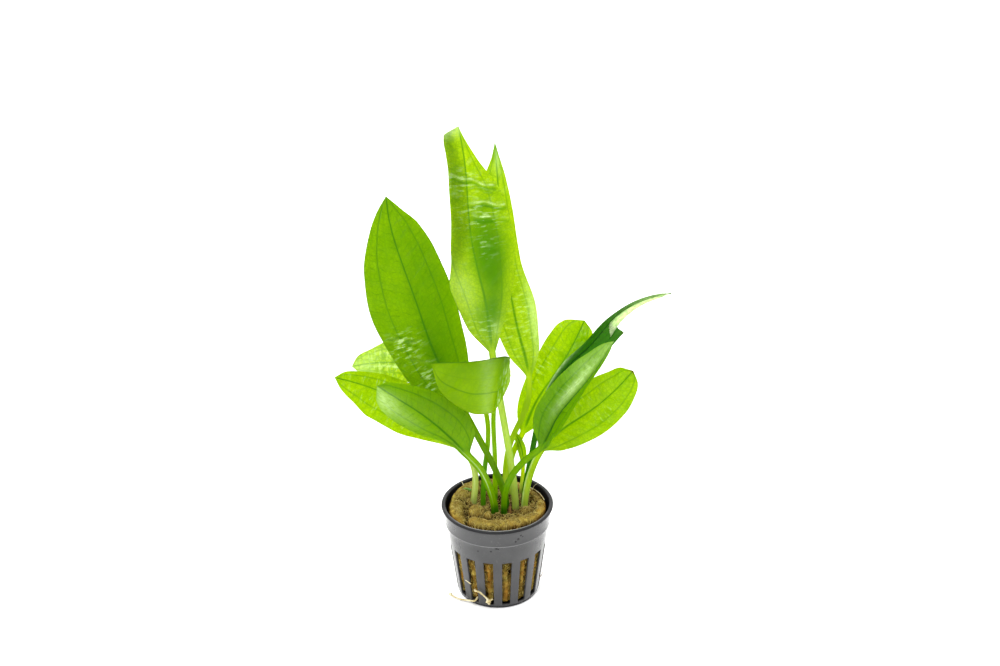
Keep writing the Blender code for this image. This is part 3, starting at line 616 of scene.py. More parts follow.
class Leaf:
    """One leaf's surface at fine steps, from its tables."""

    def __init__(self, node, shape=(), look=()):
        """shape and look say what differs from the node's own tables."""
        self.node = node
        self.table = {"width_at": WIDTH_AT, "neck": NECK, **LEAVES[node], **dict(shape)}
        self.look = {**USUAL, **LOOKS[node], **dict(look)}
        self.at, self.knots = spline(self.table["spine"])
        self.start = self.knots[self.table["blade"]]
        self.length = self.knots[-1]
        self.blade = self.length - self.start

    def part(self, s):
        """Part of the blade's length, below 0 on the stalk."""
        return (s - self.start) / self.blade

    def share(self, s):
        """1 on the stalk, fading to 0 over the blade's neck."""
        return 1 - np.clip(self.part(s) / self.table["neck"], 0, 1)

    def axes(self, s):
        """Points of the spine, and the directions up and aside at each."""
        t = np.clip(self.part(s), 0, 1)
        ahead = self.at(np.minimum(s + AXIS_STEP, self.length))
        along = unit(ahead - self.at(np.maximum(s - AXIS_STEP, 0)))
        faces = [[face[k] for face in self.table["face"]] for k in range(3)]
        up = np.stack([eased(FORM_AT, f, t) for f in faces], axis=1)
        up = unit(up - along * (up * along).sum(axis=1, keepdims=True))
        return self.at(s), up, np.cross(along, up)

    def width(self, side, s):
        half = self.table["left" if side < 0 else "right"]
        return eased(self.table["width_at"], half, np.clip(self.part(s), 0, 1))

    def slope(self, side, q, s):
        """Slopes of a half blade's cross section at parts q, in degrees."""
        t = np.clip(self.part(s), 0, 1)[:, None]
        half = 0 if side < 0 else 1
        fold = eased(FORM_AT, self.table["fold"][half], t)
        curl = eased(FORM_AT, self.table["curl"][half], t)
        slope = (fold + curl * q) * (1 - self.share(s))[:, None]
        if self.rolls(side):
            angle = eased(self.table["rolled"]["at"], self.table["rolled"]["angle"], t)
            over = np.clip((q - self.roll_edge(t)) / (2 * FOLD_SPAN) + 0.5, 0, 1)
            slope = slope + angle * over
        return slope

    def rolls(self, side):
        return side < 0 and "rolled" in self.table

    def roll_edge(self, t):
        """Part of the left half's width from which the margin is rolled over."""
        return eased(self.table["rolled"]["at"], self.table["rolled"]["where"], t)

    def column(self, signed, s):
        """Points along the blade at one part of its width, without thickness."""
        side = -1 if signed < 0 else 1
        q = abs(signed)
        steps = q * (np.arange(HALF_STEPS) + 0.5) / HALF_STEPS
        slope = np.radians(self.slope(side, steps[None, :], s))
        width = self.width(side, s)
        x = side * width * q * np.cos(slope).mean(axis=1)
        y = width * q * np.sin(slope).mean(axis=1)
        tilt = np.radians(self.slope(side, np.array([[q]]), s))[:, 0]
        here, up, aside = self.axes(s)
        normal = up * np.cos(tilt)[:, None] - aside * (side * np.sin(tilt))[:, None]
        middle = here + aside * x[:, None] + up * y[:, None]
        lift = self.relief(q, side, width, s) + self.look["lift"] * min(1, 4 * q)
        return middle + normal * lift[:, None]

    def relief(self, q, side, width, s):
        """Height of ripples, wrinkles, margin waves and vein grooves over a smooth blade."""
        along = s - self.start
        height, spacing = self.look["ripple"]
        lean = 0.55 * q * width
        ripple = np.sin((along - lean) * 2 * math.pi / spacing + 1.3 * side)
        ripple += 0.5 * np.sin((along - 1.6 * lean) * 2 * math.pi / (0.61 * spacing) + 2)
        total = height * ripple * math.sin(math.pi * min(1.02 * q, 1)) ** 0.7
        rise, count, phase = self.look["wave"]
        turn = 2 * math.pi * count * self.part(s) + phase + (1.9 if side < 0 else 0)
        total += rise * np.sin(turn) * q**2.5
        for height, off, _ in self.ridges(side * q, s):
            total += height * np.exp(-off * off)
        for vein, depth in zip(VEINS[1:], VEIN_DEPTHS[1:]):
            total -= depth * np.exp(-(((q - vein) * width / 0.4) ** 2))
        if self.rolls(side):
            total = total * smooth_step((self.roll_edge(self.part(s)) - ROLL_GAP - q) / 0.2)
        return (1 - self.share(s)) * np.clip(width / 6, 0, 1) * total

    def ridges(self, signed, s):
        """Height of each wrinkle's ridge, distance from it in its half widths, and how strong its
        painted highlight is.
        """
        for t, lean, first, last, height, half_width in self.look["ridges"]:
            sway = 0.6 * np.sin(9 * signed + 20 * t)
            off = (s - self.start - (t + lean * signed) * self.blade + sway) / half_width
            ends = smooth_step((signed - first) / 0.2) * smooth_step((last - signed) / 0.2)
            glint = 0.65 + 0.35 * np.sin(19 * signed + 31 * t)
            yield height * ends, off, glint

    def swell(self, signed, s):
        """Thickness above and below the middle: blade, stalk and midrib."""
        q = abs(signed)
        share = self.share(s)
        bulge = 1 - q * q
        stalk = self.table["stalk"]
        groove = self.look["channel"] * math.exp(-((q / 0.45) ** 2))
        crown = stalk * share * (STALK_CROWN * bulge - groove)
        crown = crown - RIB_GROOVE * (1 - share) * np.exp(-((q * self.width(1, s) / 0.5) ** 2))
        rib = RIB_BELLY * (1 - share) * (1 - RIB_TAPER * np.clip(self.part(s), 0, 1))
        belly = stalk * (STALK_BELLY * share + rib) * bulge ** (1 + 14 * (1 - share))
        half = (MARGIN_THICKNESS + (BLADE_THICKNESS - MARGIN_THICKNESS) * bulge) / 2
        return crown + half, belly + half

    def surface(self, s, parts):
        """Upper and lower points of a grid: lengths s (rows, columns) by parts of width."""
        columns = range(len(parts))
        middle = np.stack([self.column(parts[j], s[:, j]) for j in columns], axis=1)
        _, up, _ = self.axes(s[:, np.argmin(np.abs(parts))])
        normal = np.cross(np.gradient(middle, axis=1), np.gradient(middle, axis=0))
        normal /= np.maximum(np.linalg.norm(normal, axis=2, keepdims=True), 1e-9)
        centre = normal[:, np.argmin(np.abs(parts))]
        normal *= np.where((centre * up).sum(axis=1) < 0, -1, 1)[:, None, None]
        swell = [self.swell(parts[j], s[:, j]) for j in columns]
        above = np.stack([pair[0] for pair in swell], axis=1)[..., None]
        below = np.stack([pair[1] for pair in swell], axis=1)[..., None]
        return middle + normal * above, middle - normal * below


def across_parts():
    """Parts of a half blade where points stand, with one on each long vein."""
    parts = set()
    edges = VEINS + (1.0,)
    for low, high in zip(edges, edges[1:]):
        cells = max(2, round((high - low) * ACROSS_CELLS))
        parts.update(np.round(np.linspace(low, high, cells + 1), 5))
    return np.array(sorted(parts))


def sheet(above, below, keep):
    """Points and faces of the closed sheet between two grids, over the cells to keep."""
    rows, columns = above.shape[:2]
    count = rows * columns
    inside = np.pad(keep, 1)
    faces = []
    for i, j in zip(*np.nonzero(keep)):
        a = i * columns + j
        b = a + columns
        faces.append((a, a + 1, b + 1, b))
        faces.append((count + b, count + b + 1, count + a + 1, count + a))
        edges = (
            (inside[i, j + 1], a, a + 1),
            (inside[i + 1, j + 2], a + 1, b + 1),
            (inside[i + 2, j + 1], b + 1, b),
            (inside[i + 1, j], b, a),
        )
        faces += [(w, v, count + v, count + w) for filled, v, w in edges if not filled]
    used, faces_used = np.unique(np.concatenate([np.ravel(f) for f in faces]), return_inverse=True)
    sizes = np.cumsum([len(f) for f in faces])[:-1]
    faces = [tuple(int(v) for v in f) for f in np.split(faces_used.ravel(), sizes)]
    points = np.concatenate([above.reshape(-1, 3), below.reshape(-1, 3)])
    return points[used], faces, used


def pale_foot(leaf, s):
    """How pale the stalk is: most at its foot."""
    reach, strength = leaf.look["pale_foot"]
    return strength * smooth_step(1.15 - (s - leaf.knots[1] - 2) / reach)


def shaded_foot(leaf, s):
    """How much painted shade darkens the stalk: where it leaves the wool, and along it for the leaves
    whose stalk is shaded.
    """
    strength = 0.25 if leaf.look["pale_foot"][1] else 1.0
    foot = strength * smooth_step(1.3 - (s - leaf.knots[1]) / DARK_FOOT)
    return np.maximum(foot, leaf.look["stalk_dark"] * smooth_step(-8 * leaf.part(s)))


def leaf_values(leaf, s, parts):
    """Named values at each point of the grid, for the leaf's material."""
    width = np.where(parts < 0, leaf.width(-1, s.ravel()).reshape(s.shape), 0)
    width = width + np.where(parts >= 0, leaf.width(1, s.ravel()).reshape(s.shape), 0)
    nearest = [np.abs(np.abs(parts) - vein) for vein in VEINS]
    rank = np.argmin(nearest, axis=0)
    broad = 1 + 1.6 * (rank == 0) * np.clip(1 - 1.4 * leaf.part(s), 0, 1) ** 2
    values = {
        "across_mm": parts * width,
        "along_mm": s - leaf.start,
        "vein_mm": np.min(nearest, axis=0) * width / broad,
        "vein_tone": np.broadcast_to(np.array(VEIN_TONES)[rank], s.shape),
        "pale": pale_foot(leaf, s),
        "dark": shaded_foot(leaf, s),
        **{kind: 0 * s for kind in ("brown", "glare", "painted_crumple_light")},
    }
    add_marks(leaf, s, parts, values)
    add_ridge_shine(leaf, s, parts, values)
    return values


def add_marks(leaf, s, parts, values):
    """The leaf's marks, and the painted shade of its rolled strip, where two layers overlap."""
    t = leaf.part(s)
    for kind in MARK_KINDS:
        sharp = 1.7 if kind == "dark" else 1.0
        for along, across, reach, reach_across, strength in leaf.look[kind]:
            away = ((t - along) / reach) ** 2 + ((parts - across) / reach_across) ** 2
            values[kind] = values[kind] + strength * np.exp(-(away**sharp))
    # painted shade on the rolled strip, where two layers of the blade overlap
    if "rolled" in leaf.table:
        strip = parts < -leaf.roll_edge(t) - ROLL_GAP
        values["dark"] = values["dark"] + leaf.look["strip"] * strip


def add_ridge_shine(leaf, s, parts, values):
    """A painted highlight line on each ridge and a painted shade line beside it."""
    shine = leaf.look["shine"]
    for height, off, glint in leaf.ridges(parts, s):
        lit = 1.6 * shine * glint * height**2 * np.exp(-(((off - 0.3) / 0.32) ** 2))
        values["glare"] = values["glare"] + lit
        shade = 1.1 * shine * height * np.exp(-(((off + 1.2) / 0.7) ** 2))
        values["dark"] = values["dark"] + shade


def blade_grid(leaf):
    """Lengths along the leaf at each point (rows, columns) and parts of its width."""
    half = across_parts()
    parts = np.concatenate([-half[:0:-1], half])
    stalk = np.linspace(leaf.knots[1] - 4, leaf.start, STALK_ROWS, endpoint=False)
    blade = np.linspace(leaf.start, leaf.length - 0.02, int(leaf.blade / BLADE_STEP))
    s = np.concatenate([stalk, blade])
    return np.repeat(s[:, None], len(parts), axis=1), parts


def leaf_piece(name, leaf, s, parts, keep, look):
    above, below = leaf.surface(s, parts)
    points, faces, used = sheet(above, below, keep)
    values = leaf_values(leaf, s, parts)
    on_both = {kind: np.tile(grid.ravel(), 2)[used] for kind, grid in values.items()}
    new_piece(name, points, faces, look, leaf.node, on_both)


def build_leaf(name):
    leaf = Leaf(name)
    s, parts = blade_grid(leaf)
    keep = np.ones((len(s) - 1, len(parts) - 1), bool)
    leaf_piece(name + "_blade", leaf, s, parts, keep, leaf_material(leaf))


def lean_to_tear(leaf, s, parts):
    """Rows of the right half leaned so that one of them lies along the tear, and that row."""
    cut = leaf.start + TEAR_AT * leaf.blade
    row = int(np.argmin(np.abs(s[:, 0] - cut)))
    ragged = np.array([0.5 * rough_at((9 * q, 2.0, 5.0), 1.0, 3) for q in parts])
    edge = (leaf.table["slant"] * parts + ragged) * (parts > 0)
    return s + edge * np.exp(-(((s - cut) / TEAR_REACH) ** 2)), row


def build_torn_leaf(name):
    """The leaf whose right half is torn across, the outer part lapping over the inner."""
    skin = leaf_material(Leaf(name))
    for ending, shape, look in (("_blade", STUB, ()), ("_flap", FLAP, FLAP_LOOK)):
        leaf = Leaf(name, shape, look)
        s, parts = blade_grid(leaf)
        s, row = lean_to_tear(leaf, s, parts)
        torn_off = (np.arange(len(s) - 1) >= row)[:, None] & (parts[:-1] >= 0)
        keep = torn_off if ending == "_flap" else ~torn_off
        leaf_piece(name + ending, leaf, s, parts, keep, skin)


# ---------------------------------------------------------------- materials


class Nodes:
    """Short calls that add shader nodes to a material or to the world."""

    def __init__(self, owner):
        owner.use_nodes = True
        self.owner = owner
        self.tree = owner.node_tree
        self.shader = self.tree.nodes.get("Principled BSDF")

    def add(self, kind, inputs=(), **settings):
        node = self.tree.nodes.new(kind)
        for key, value in settings.items():
            setattr(node, key, value)
        for key, value in dict(inputs).items():
            self.set(node.inputs[key], value)
        return node

    def set(self, socket, value):
        """A link from another node's socket, or a plain value or colour."""
        if isinstance(value, bpy.types.NodeSocket):
            self.tree.links.new(value, socket)
        elif socket.type == "RGBA":
            socket.default_value = (*value[:3], 1.0)
        else:
            socket.default_value = value

    def math(self, operation, a, b=0.0, clamp=False):
        node = self.add("ShaderNodeMath", {0: a, 1: b}, operation=operation, use_clamp=clamp)
        return node.outputs[0]

    def plus(self, a, b, clamp=False):
        return self.math("ADD", a, b, clamp)

    def minus(self, a, b):
        return self.math("SUBTRACT", a, b)

    def times(self, a, b):
        return self.math("MULTIPLY", a, b)

    def most(self, a, b):
        return self.math("MAXIMUM", a, b)

    def unsigned(self, value):
        return self.math("ABSOLUTE", value)

    def stretched(self, vector, factors):
        node = self.add("ShaderNodeVectorMath", {0: vector, 1: factors}, operation="MULTIPLY")
        return node.outputs[0]

    def mix(self, share, a, b):
        return self.add("ShaderNodeMix", {0: share, 6: a, 7: b}, data_type="RGBA").outputs[2]

    def layered(self, colour, *layers):
        """A colour with others laid over it: how much of each shows, and the colour."""
        for share, over in layers:
            colour = self.mix(share, colour, over)
        return colour

    def smooth(self, value, low, high, start=0.0, end=1.0):
        """start below low, end above high, smooth between."""
        inputs = {0: value, 1: low, 2: high, 3: start, 4: end}
        node = self.add("ShaderNodeMapRange", inputs, interpolation_type="SMOOTHSTEP")
        return node.outputs[0]

    def attribute(self, name):
        return self.add("ShaderNodeAttribute", attribute_name=name).outputs["Fac"]

    def noise(self, vector, scale, detail=3.0, rough=0.55):
        inputs = {"Vector": vector, "Scale": scale, "Detail": detail, "Roughness": rough}
        return self.add("ShaderNodeTexNoise", inputs).outputs["Fac"]

    def patches(self, vector, scale, detail, *edges):
        """Noise made into patches with soft edges, as in smooth()."""
        return self.smooth(self.noise(vector, scale, detail), *edges)

    def place(self, kind="Object"):
        return self.add("ShaderNodeTexCoord").outputs[kind]

    def bump(self, height, distance):
        return self.add("ShaderNodeBump", {"Height": height, "Distance": distance}).outputs["Normal"]

    def finish(self, **inputs):
        """The shader's own sockets set, and the material."""
        for key, value in inputs.items():
            socket = SOCKETS.get(key, key.replace("_", " ").title())
            self.set(self.shader.inputs[socket], value)
        return self.owner


SOCKETS = {"colour": "Base Color", "specular": "Specular IOR Level"}


def material_nodes(name):
    return Nodes(bpy.data.materials.new(name))


def leaf_veins(n, look, across, along, blade):
    """How much each place is a vein of any kind, how much a long vein, and the net's cells."""
    drift = n.noise(blade, 0.25, 2.0)
    long_vein = n.smooth(n.attribute("vein_mm"), *LONG_VEIN, 1.0, 0.0)
    long_vein = n.times(long_vein, n.attribute("vein_tone"))
    lean = n.times(n.unsigned(across), RUNG_LEAN)
    rung = n.plus(n.minus(along, lean), n.times(drift, RUNG_DRIFT))
    rung = n.math("PINGPONG", n.plus(rung, 400.0), RUNG_SPACING)
    rung = n.times(n.smooth(rung, 0.1, 0.4, 1.0, 0.0), n.patches(blade, 0.35, 2.0, 0.35, 0.6))
    mesh_size = {"Vector": blade, "Scale": look["net_scale"]}
    cells = n.add("ShaderNodeTexVoronoi", mesh_size, feature="DISTANCE_TO_EDGE").outputs[0]
    net = n.times(n.smooth(cells, 0.02, 0.14, 1.0, 0.0), look["net"])
    fine = n.most(n.times(rung, look["rungs"]), net)
    return n.most(long_vein, fine), long_vein, cells


def leaf_shine_and_shade(n, across, blade, stalk):
    """How much painted glare each place has, and how much painted shade, with painted glints and
    painted shade in the creases of crumpled patches.
    """
    gloss = n.noise(n.stretched(blade, GLOSS_STRETCH), 0.9, 4.0, 0.7)
    gloss = n.smooth(gloss, 0.3, 0.62, 0.45, 1.1)
    crease = n.noise(n.stretched(blade, CREASE_STRETCH), 1.0, 4.0, 0.65)
    # painted glints and painted shade in the creases of crumpled patches
    painted_crumple_light = n.attribute("painted_crumple_light")
    glint = n.times(painted_crumple_light, n.smooth(crease, 0.52, 0.64, 0.0, 0.75))
    glare = n.plus(n.times(n.attribute("glare"), gloss), glint, clamp=True)
    # painted shade along the sides of the stalk
    edge = n.times(n.smooth(n.unsigned(across), 0.5, 1.7), stalk)
    dark = n.most(n.attribute("dark"), n.times(edge, 0.5))
    fold = n.times(painted_crumple_light, n.smooth(crease, 0.38, 0.50, 0.7, 0.0))
    return glare, n.most(dark, fold)


def tint(colour, factors):
    return tuple(min(0.95, c * k) for c, k in zip(colour, factors))


def leaf_material(leaf):
    n = material_nodes(leaf.node + "_skin")
    across = n.attribute("across_mm")
    along = n.attribute("along_mm")
    blade = n.add("ShaderNodeCombineXYZ", {0: across, 1: along}).outputs[0]
    on_blade = n.smooth(along, 0.0, 6.0)
    stalk = n.minus(1.0, on_blade)
    veins, long_vein, cells = leaf_veins(n, leaf.look, across, along, blade)
    veins = n.times(veins, on_blade)
    glare, dark = leaf_shine_and_shade(n, across, blade, stalk)
    blotch = n.patches(blade, 0.1, 4.0, 0.32, 0.68)
    streak = n.patches(n.stretched(blade, STREAK_STRETCH), 1.0, 3.0, 0.35, 0.65)
    streak = n.times(n.times(streak, n.plus(n.times(stalk, 0.8), 0.2)), 0.3)
    strong_veins = n.times(veins, 0.9)
    pale = n.attribute("pale")
    brown = n.attribute("brown")
    reflected, through = (
        n.layered(
            tint(green, BLOTCH_TINT),
            (blotch, green),
            (streak, tint(green, STREAK_TINT)),
            (strong_veins, tint(green, VEIN_TINT)),
            # painted shade, partly a darker green of the leaf itself
            (dark, tint(green, DARK_TINT)),
            (pale, pale_green),
            # painted glare
            (glare, white),
            (brown, DRY_BROWN),
        )
        for green, pale_green, white in zip(leaf.look["green"], PALE_FOOT, GLARE)
    )
    rise = n.minus(n.times(n.smooth(cells, 0.0, 0.4), 0.5), veins)
    bump = n.bump(n.plus(rise, n.times(n.noise(blade, 2.2, 2.0), 0.3)), 0.00006)
    rough = n.patches(blade, 0.5, 2.0, 0.2, 0.8, 0.15, 0.23)
    rough = n.plus(rough, n.times(n.times(long_vein, on_blade), 0.35))
    glow = n.add("ShaderNodeBsdfTranslucent", {"Color": through, "Normal": bump}).outputs[0]
    shares = {0: SHARE_THROUGH, 1: n.shader.outputs[0], 2: glow}
    both = n.add("ShaderNodeMixShader", shares).outputs[0]
    n.set(n.tree.nodes["Material Output"].inputs["Surface"], both)
    return n.finish(colour=reflected, roughness=rough, normal=bump, specular=0.13)


def pot_material():
    n = material_nodes("pot_plastic_moulded")
    place = n.place()
    height = n.add("ShaderNodeSeparateXYZ", {0: place}).outputs[2]
    cloud = n.noise(place, 90, 3.0)
    # painted shade: near black on the rounded foot where the pot stands on the floor
    shaded_foot = n.smooth(height, 0.0008, 0.0028, 0.9, 0.0)
    ragged = n.times(n.minus(n.noise(place, 1500, 3.0), 0.5), 0.0010)
    spots = []
    for spot, size in POT_MARKS:
        ends = {0: place, 1: tuple(c * MM for c in spot)}
        away = n.add("ShaderNodeVectorMath", ends, operation="DISTANCE").outputs[1]
        spots.append(n.smooth(n.plus(away, ragged), 0.4 * size * MM, size * MM, 0.85, 0.0))
    colour = n.layered(
        (0.036, 0.036, 0.037),
        (n.smooth(cloud, 0.3, 0.7), (0.047, 0.047, 0.048)),
        (n.times(n.patches(place, 900, 2.0, 0.64, 0.72), 0.25), (0.12, 0.12, 0.115)),
        (n.smooth(height, 0.0, 0.022, 0.5, 0.0), (0.03, 0.03, 0.032)),
        (shaded_foot, (0.006, 0.006, 0.007)),
        *((spot, (0.003, 0.003, 0.003)) for spot in spots),
        # painted highlight lines on the lip's edge and the step
        (n.attribute("painted_highlight"), HIGHLIGHT_LINE_GREY),
    )
    matt = functools.reduce(n.most, spots, shaded_foot)
    facing = n.add("ShaderNodeLayerWeight", {"Blend": 0.5}).outputs["Facing"]
    rough = n.times(n.smooth(cloud, 0.2, 0.8, 0.30, 0.40), n.smooth(facing, 0.35, 0.85, 1.0, 0.35))
    return n.finish(
        colour=colour,
        roughness=n.most(rough, n.times(matt, 0.9)),
        normal=n.bump(n.noise(place, 2500, 2.0), 0.00003),
        specular=0.4,
        sheen_weight=0.2,
        sheen_roughness=0.3,
    )


def pot_painted_shade_material():
    """The same plastic on the lip and the inside of the wall, made far darker as painted shade."""
    n = material_nodes("pot_plastic_painted_dark")
    cloud = n.patches(n.place(), 220, 3.0, 0.3, 0.7)
    colour = n.layered(
        (0.004, 0.004, 0.005),
        (cloud, (0.010, 0.010, 0.011)),
        (n.attribute("lip"), (0.014, 0.014, 0.015)),
        # painted highlight lines on the lip's edge
        (n.attribute("painted_highlight"), HIGHLIGHT_LINE_GREY),
    )
    rough = n.smooth(cloud, 0.0, 1.0, 0.38, 0.48)
    return n.finish(colour=colour, roughness=rough, normal=n.bump(cloud, 0.00002), specular=0.12)


def wool_material():
    n = material_nodes("wool_damp_fibre")
    place = n.place()
    rust = n.times(n.patches(place, 120, 3.0, 0.48, 0.66), 0.55)
    moss = n.times(n.patches(place, 90, 2.0, 0.56, 0.7), 0.4)
    thread = n.noise(place, 520.0, 5.0, 0.5)
    colour = n.layered(
        (0.145, 0.094, 0.018),
        (n.patches(place, 160, 4.0, 0.35, 0.65), (0.33, 0.245, 0.050)),
        # rust, and painted shade under the rolls near the rim
        (n.most(rust, n.times(n.attribute("rust_and_shade"), 0.75)), (0.24, 0.10, 0.012)),
        (n.most(moss, n.times(n.attribute("moss"), 0.75)), (0.13, 0.12, 0.018)),
        # painted highlight on the crowns that stand above their surroundings
        (n.times(n.attribute("crown"), 0.45), (0.50, 0.40, 0.08)),
        # painted shade in the hollows between the threads
        (n.smooth(thread, 0.36, 0.6, 0.5, 0.0), (0.10, 0.050, 0.009)),
        (n.patches(place, 800, 2.0, 0.6, 0.74, 0.0, 0.4), (0.56, 0.45, 0.11)),
        # painted shade in pits, gaps and creases
        (n.attribute("depth"), (0.016, 0.007, 0.001)),
    )
    return n.finish(colour=colour, roughness=0.9, normal=n.bump(thread, 0.0006), specular=0.0)


def fibre_material():
    n = material_nodes("wool_loose_fibre")
    colour = n.mix(n.attribute("tone"), (0.20, 0.13, 0.02), (0.56, 0.46, 0.14))
    return n.finish(colour=colour, roughness=0.7, specular=0.1)


def patchy_material(name, dark, light, scale=600, rough=0.6):
    """Skin of a root or a scrap, in patches of two colours."""
    n = material_nodes(name)
    patch = n.patches(n.place(), scale, 3.0, 0.35, 0.65)
    return n.finish(colour=n.mix(patch, dark, light), roughness=rough, normal=n.bump(patch, 0.0001))


def floor_material():
    n = material_nodes("floor_white")
    return n.finish(colour=(0.93, 0.93, 0.93), roughness=0.9, specular=0.0)


# ---------------------------------------------------------------- net pot


def body_radius(z):
    return FOOT_RADIUS + BODY_TAPER * z


def pot_columns(z):
    """Angles of the wall's columns at a height, the slots' edges among them."""
    z = min(max(z, SLOT_BOTTOM), SLOT_TOP)
    share = (z - SLOT_BOTTOM) / (SLOT_TOP - SLOT_BOTTOM)
    half = (SLOT_WIDTH_LOW + share * (SLOT_WIDTH_HIGH - SLOT_WIDTH_LOW)) / 2 / body_radius(z)
    slot = np.linspace(-half, half, SLOT_CELLS + 1)
    rib = np.linspace(half, SLOT_PITCH - half, RIB_CELLS + 1)[1:-1]
    turns = SLOT_TURN + SLOT_PITCH * np.arange(SLOTS)[:, None] + np.concatenate([slot, rib])
    return turns.ravel()


def arc(centre, radius, start, end, steps):
    """Points of a circle's arc in the (radius, height) plane, angles in degrees."""
    turns = np.radians(np.linspace(start, end, steps))
    return [(centre[0] + radius * math.cos(a), centre[1] + radius * math.sin(a)) for a in turns]


def pot_outline():
    """(radius, height) from the underside round the lip to the floor, the lip's rows, and
    the first rows of the slots outside and inside."""
    heights = np.linspace(SLOT_BOTTOM, SLOT_TOP, SLOT_ROWS + 1)
    step = body_radius(STEP_HEIGHT)
    band = step + STEP_WIDTH
    neck = band + BAND_FLARE
    lip_foot = POT_HEIGHT - LIP_HEIGHT
    r = FOOT_ROUNDING
    wall = POT_WALL
    bead = 0.5 * LIP_HEIGHT
    outside = [(0.3 * FOOT_RADIUS, 0), (0.8 * FOOT_RADIUS, 0)]
    outside += arc((FOOT_RADIUS - r, r), r, -90, 0, 6)
    first = len(outside)
    outside += [(body_radius(z), z) for z in heights]
    outside += [(body_radius(z), z) for z in (32, 36, STEP_HEIGHT - 0.25)]
    outside += [(step + 0.05, STEP_HEIGHT)]
    outside += arc((band - 0.55, STEP_HEIGHT + 0.6), 0.55, -80, 20, 6)
    outside += [(band + 0.3 * BAND_FLARE, NECK_HEIGHT), (neck - 0.1, lip_foot - 0.5)]
    lip = [(neck, lip_foot - 0.1)]
    lip += arc((RIM_RADIUS - bead, lip_foot + bead), bead, -60, 90, 9)
    lip += arc((neck - wall + 0.5, POT_HEIGHT - 0.55), 0.5, 100, 180, 5)
    inside = [(neck - wall, lip_foot), (band - wall, STEP_HEIGHT + 0.5), (step - wall, STEP_HEIGHT)]
    inside += [(body_radius(34) - wall, 34)]
    second = len(outside) + len(lip) + len(inside)
    inside += [(body_radius(z) - wall, z) for z in heights[::-1]]
    inside += [(FOOT_RADIUS - wall, FLOOR_THICKNESS + 0.8)]
    inside += [(FOOT_RADIUS - wall - 0.8, FLOOR_THICKNESS), (0.4 * FOOT_RADIUS, FLOOR_THICKNESS)]
    lip_rows = range(len(outside), len(outside) + len(lip))
    return outside + lip + inside, lip_rows, first, second


def slot_sides(left, first, second):
    """Faces through the wall round the slot that starts at the column left."""

    def at(row, column):
        return row * POT_COLUMNS + column

    top = first + SLOT_ROWS
    bottom = second + SLOT_ROWS
    faces = []
    for i in range(SLOT_ROWS):
        o = first + i
        p = bottom - i
        for edge in (left, left + SLOT_CELLS):
            faces.append((at(o, edge), at(o + 1, edge), at(p - 1, edge), at(p, edge)))
    for j in range(left, left + SLOT_CELLS):
        for out, back in ((first, bottom), (top, second)):
            faces.append((at(out, j), at(out, j + 1), at(back, j + 1), at(back, j)))
    return faces


def pot_faces(rows, first, second):
    """The wall with open slots, whose rows start at first and second, and both floors."""
    *quads, underside, floor = ring_faces(rows, POT_COLUMNS)
    faces = []
    for index, face in enumerate(quads):
        row, column = divmod(index, POT_COLUMNS)
        beside_slot = 0 <= row - first < SLOT_ROWS or 0 <= row - second < SLOT_ROWS
        if not (beside_slot and column % SLOT_PERIOD < SLOT_CELLS):
            faces.append(face)
    for slot in range(SLOTS):
        faces += slot_sides(slot * SLOT_PERIOD, first, second)
    return faces + [underside, floor]


def painted_highlight_lines(outline, lip_start):
    """How much painted highlight each point has: a line on the lip's inner edge and one on the step,
    in front.
    """
    row = np.arange(len(outline)) - lip_start
    painted_highlight = 0.7 * np.isin(row, LIP_HIGHLIGHT_ROWS) + 0.35 * np.isin(row, STEP_HIGHLIGHT_ROWS)
    front = np.concatenate([np.clip(np.cos(pot_columns(z)), 0, 1) for _, z in outline])
    return np.repeat(painted_highlight, POT_COLUMNS) * front**2


def round_edges(piece):
    piece.data.set_sharp_from_angle(angle=SHARP_ANGLE)
    soften = piece.modifiers.new("soft edges", "BEVEL")
    soften.width = EDGE_ROUNDING * MM
    soften.segments = 2
    soften.limit_method = "ANGLE"
    soften.angle_limit = SHARP_ANGLE


def build_pot():
    outline, lip, first, second = pot_outline()
    points = []
    for radius, z in outline:
        points += [(radius * math.sin(a), -radius * math.cos(a), z) for a in pot_columns(z)]
    faces = pot_faces(len(outline), first, second)
    is_lip = [row in lip for row in range(len(outline))]
    values = {"lip": np.repeat(is_lip, POT_COLUMNS), "painted_highlight": painted_highlight_lines(outline, lip.start)}
    piece = new_piece("pot", points, faces, pot_material(), "net_pot", values)
    piece.data.materials.append(pot_painted_shade_material())
    for face in piece.data.polygons:
        # the lip and the inside of the wall take the copy darkened as painted shade
        face.material_index = 1 if min(face.vertices) >= lip.start * POT_COLUMNS else 0
    round_edges(piece)


# ---------------------------------------------------------------- mineral wool


def rough_at(point, size, octaves=4):
    """Noise between about -1 and 1 at a point, of features about size mm across."""
    return noise.fractal(Vector(point) / size, 1.0, 2.0, octaves)


def wool_forms(x, y):
    """Heights of the plug's rolled edges and lumps over its middle, the highest last."""
    forms = [WOOL_LEVEL - 0.004 * (x * x + y * y)]
    for route, radius in WOOL_ROLLS:
        at, knots = spline(route)
        line = at(np.linspace(0, knots[-1], 60))
        away = (x[:, None] - line[:, 0]) ** 2 + (y[:, None] - line[:, 1]) ** 2
        crown = line[:, 2] + np.sqrt(np.maximum(radius**2 - away, 0)) - 3 * (away > radius**2)
        forms.append(crown.max(axis=1))
    for dome_x, dome_y, top, radius in WOOL_DOMES:
        away = (x - dome_x) ** 2 + (y - dome_y) ** 2
        forms.append(top - radius + np.sqrt(np.maximum(radius**2 - away, 0)))
    return np.sort(np.array(forms), axis=0)


def wool_crease(forms):
    """1 where two forms meet, 0 away from that."""
    apart = forms[-1] - forms[-2]
    return 0.8 * np.exp(-((apart / WOOL_CREASE) ** 2)) + 0.2 * np.exp(-((apart / 2.4) ** 2))


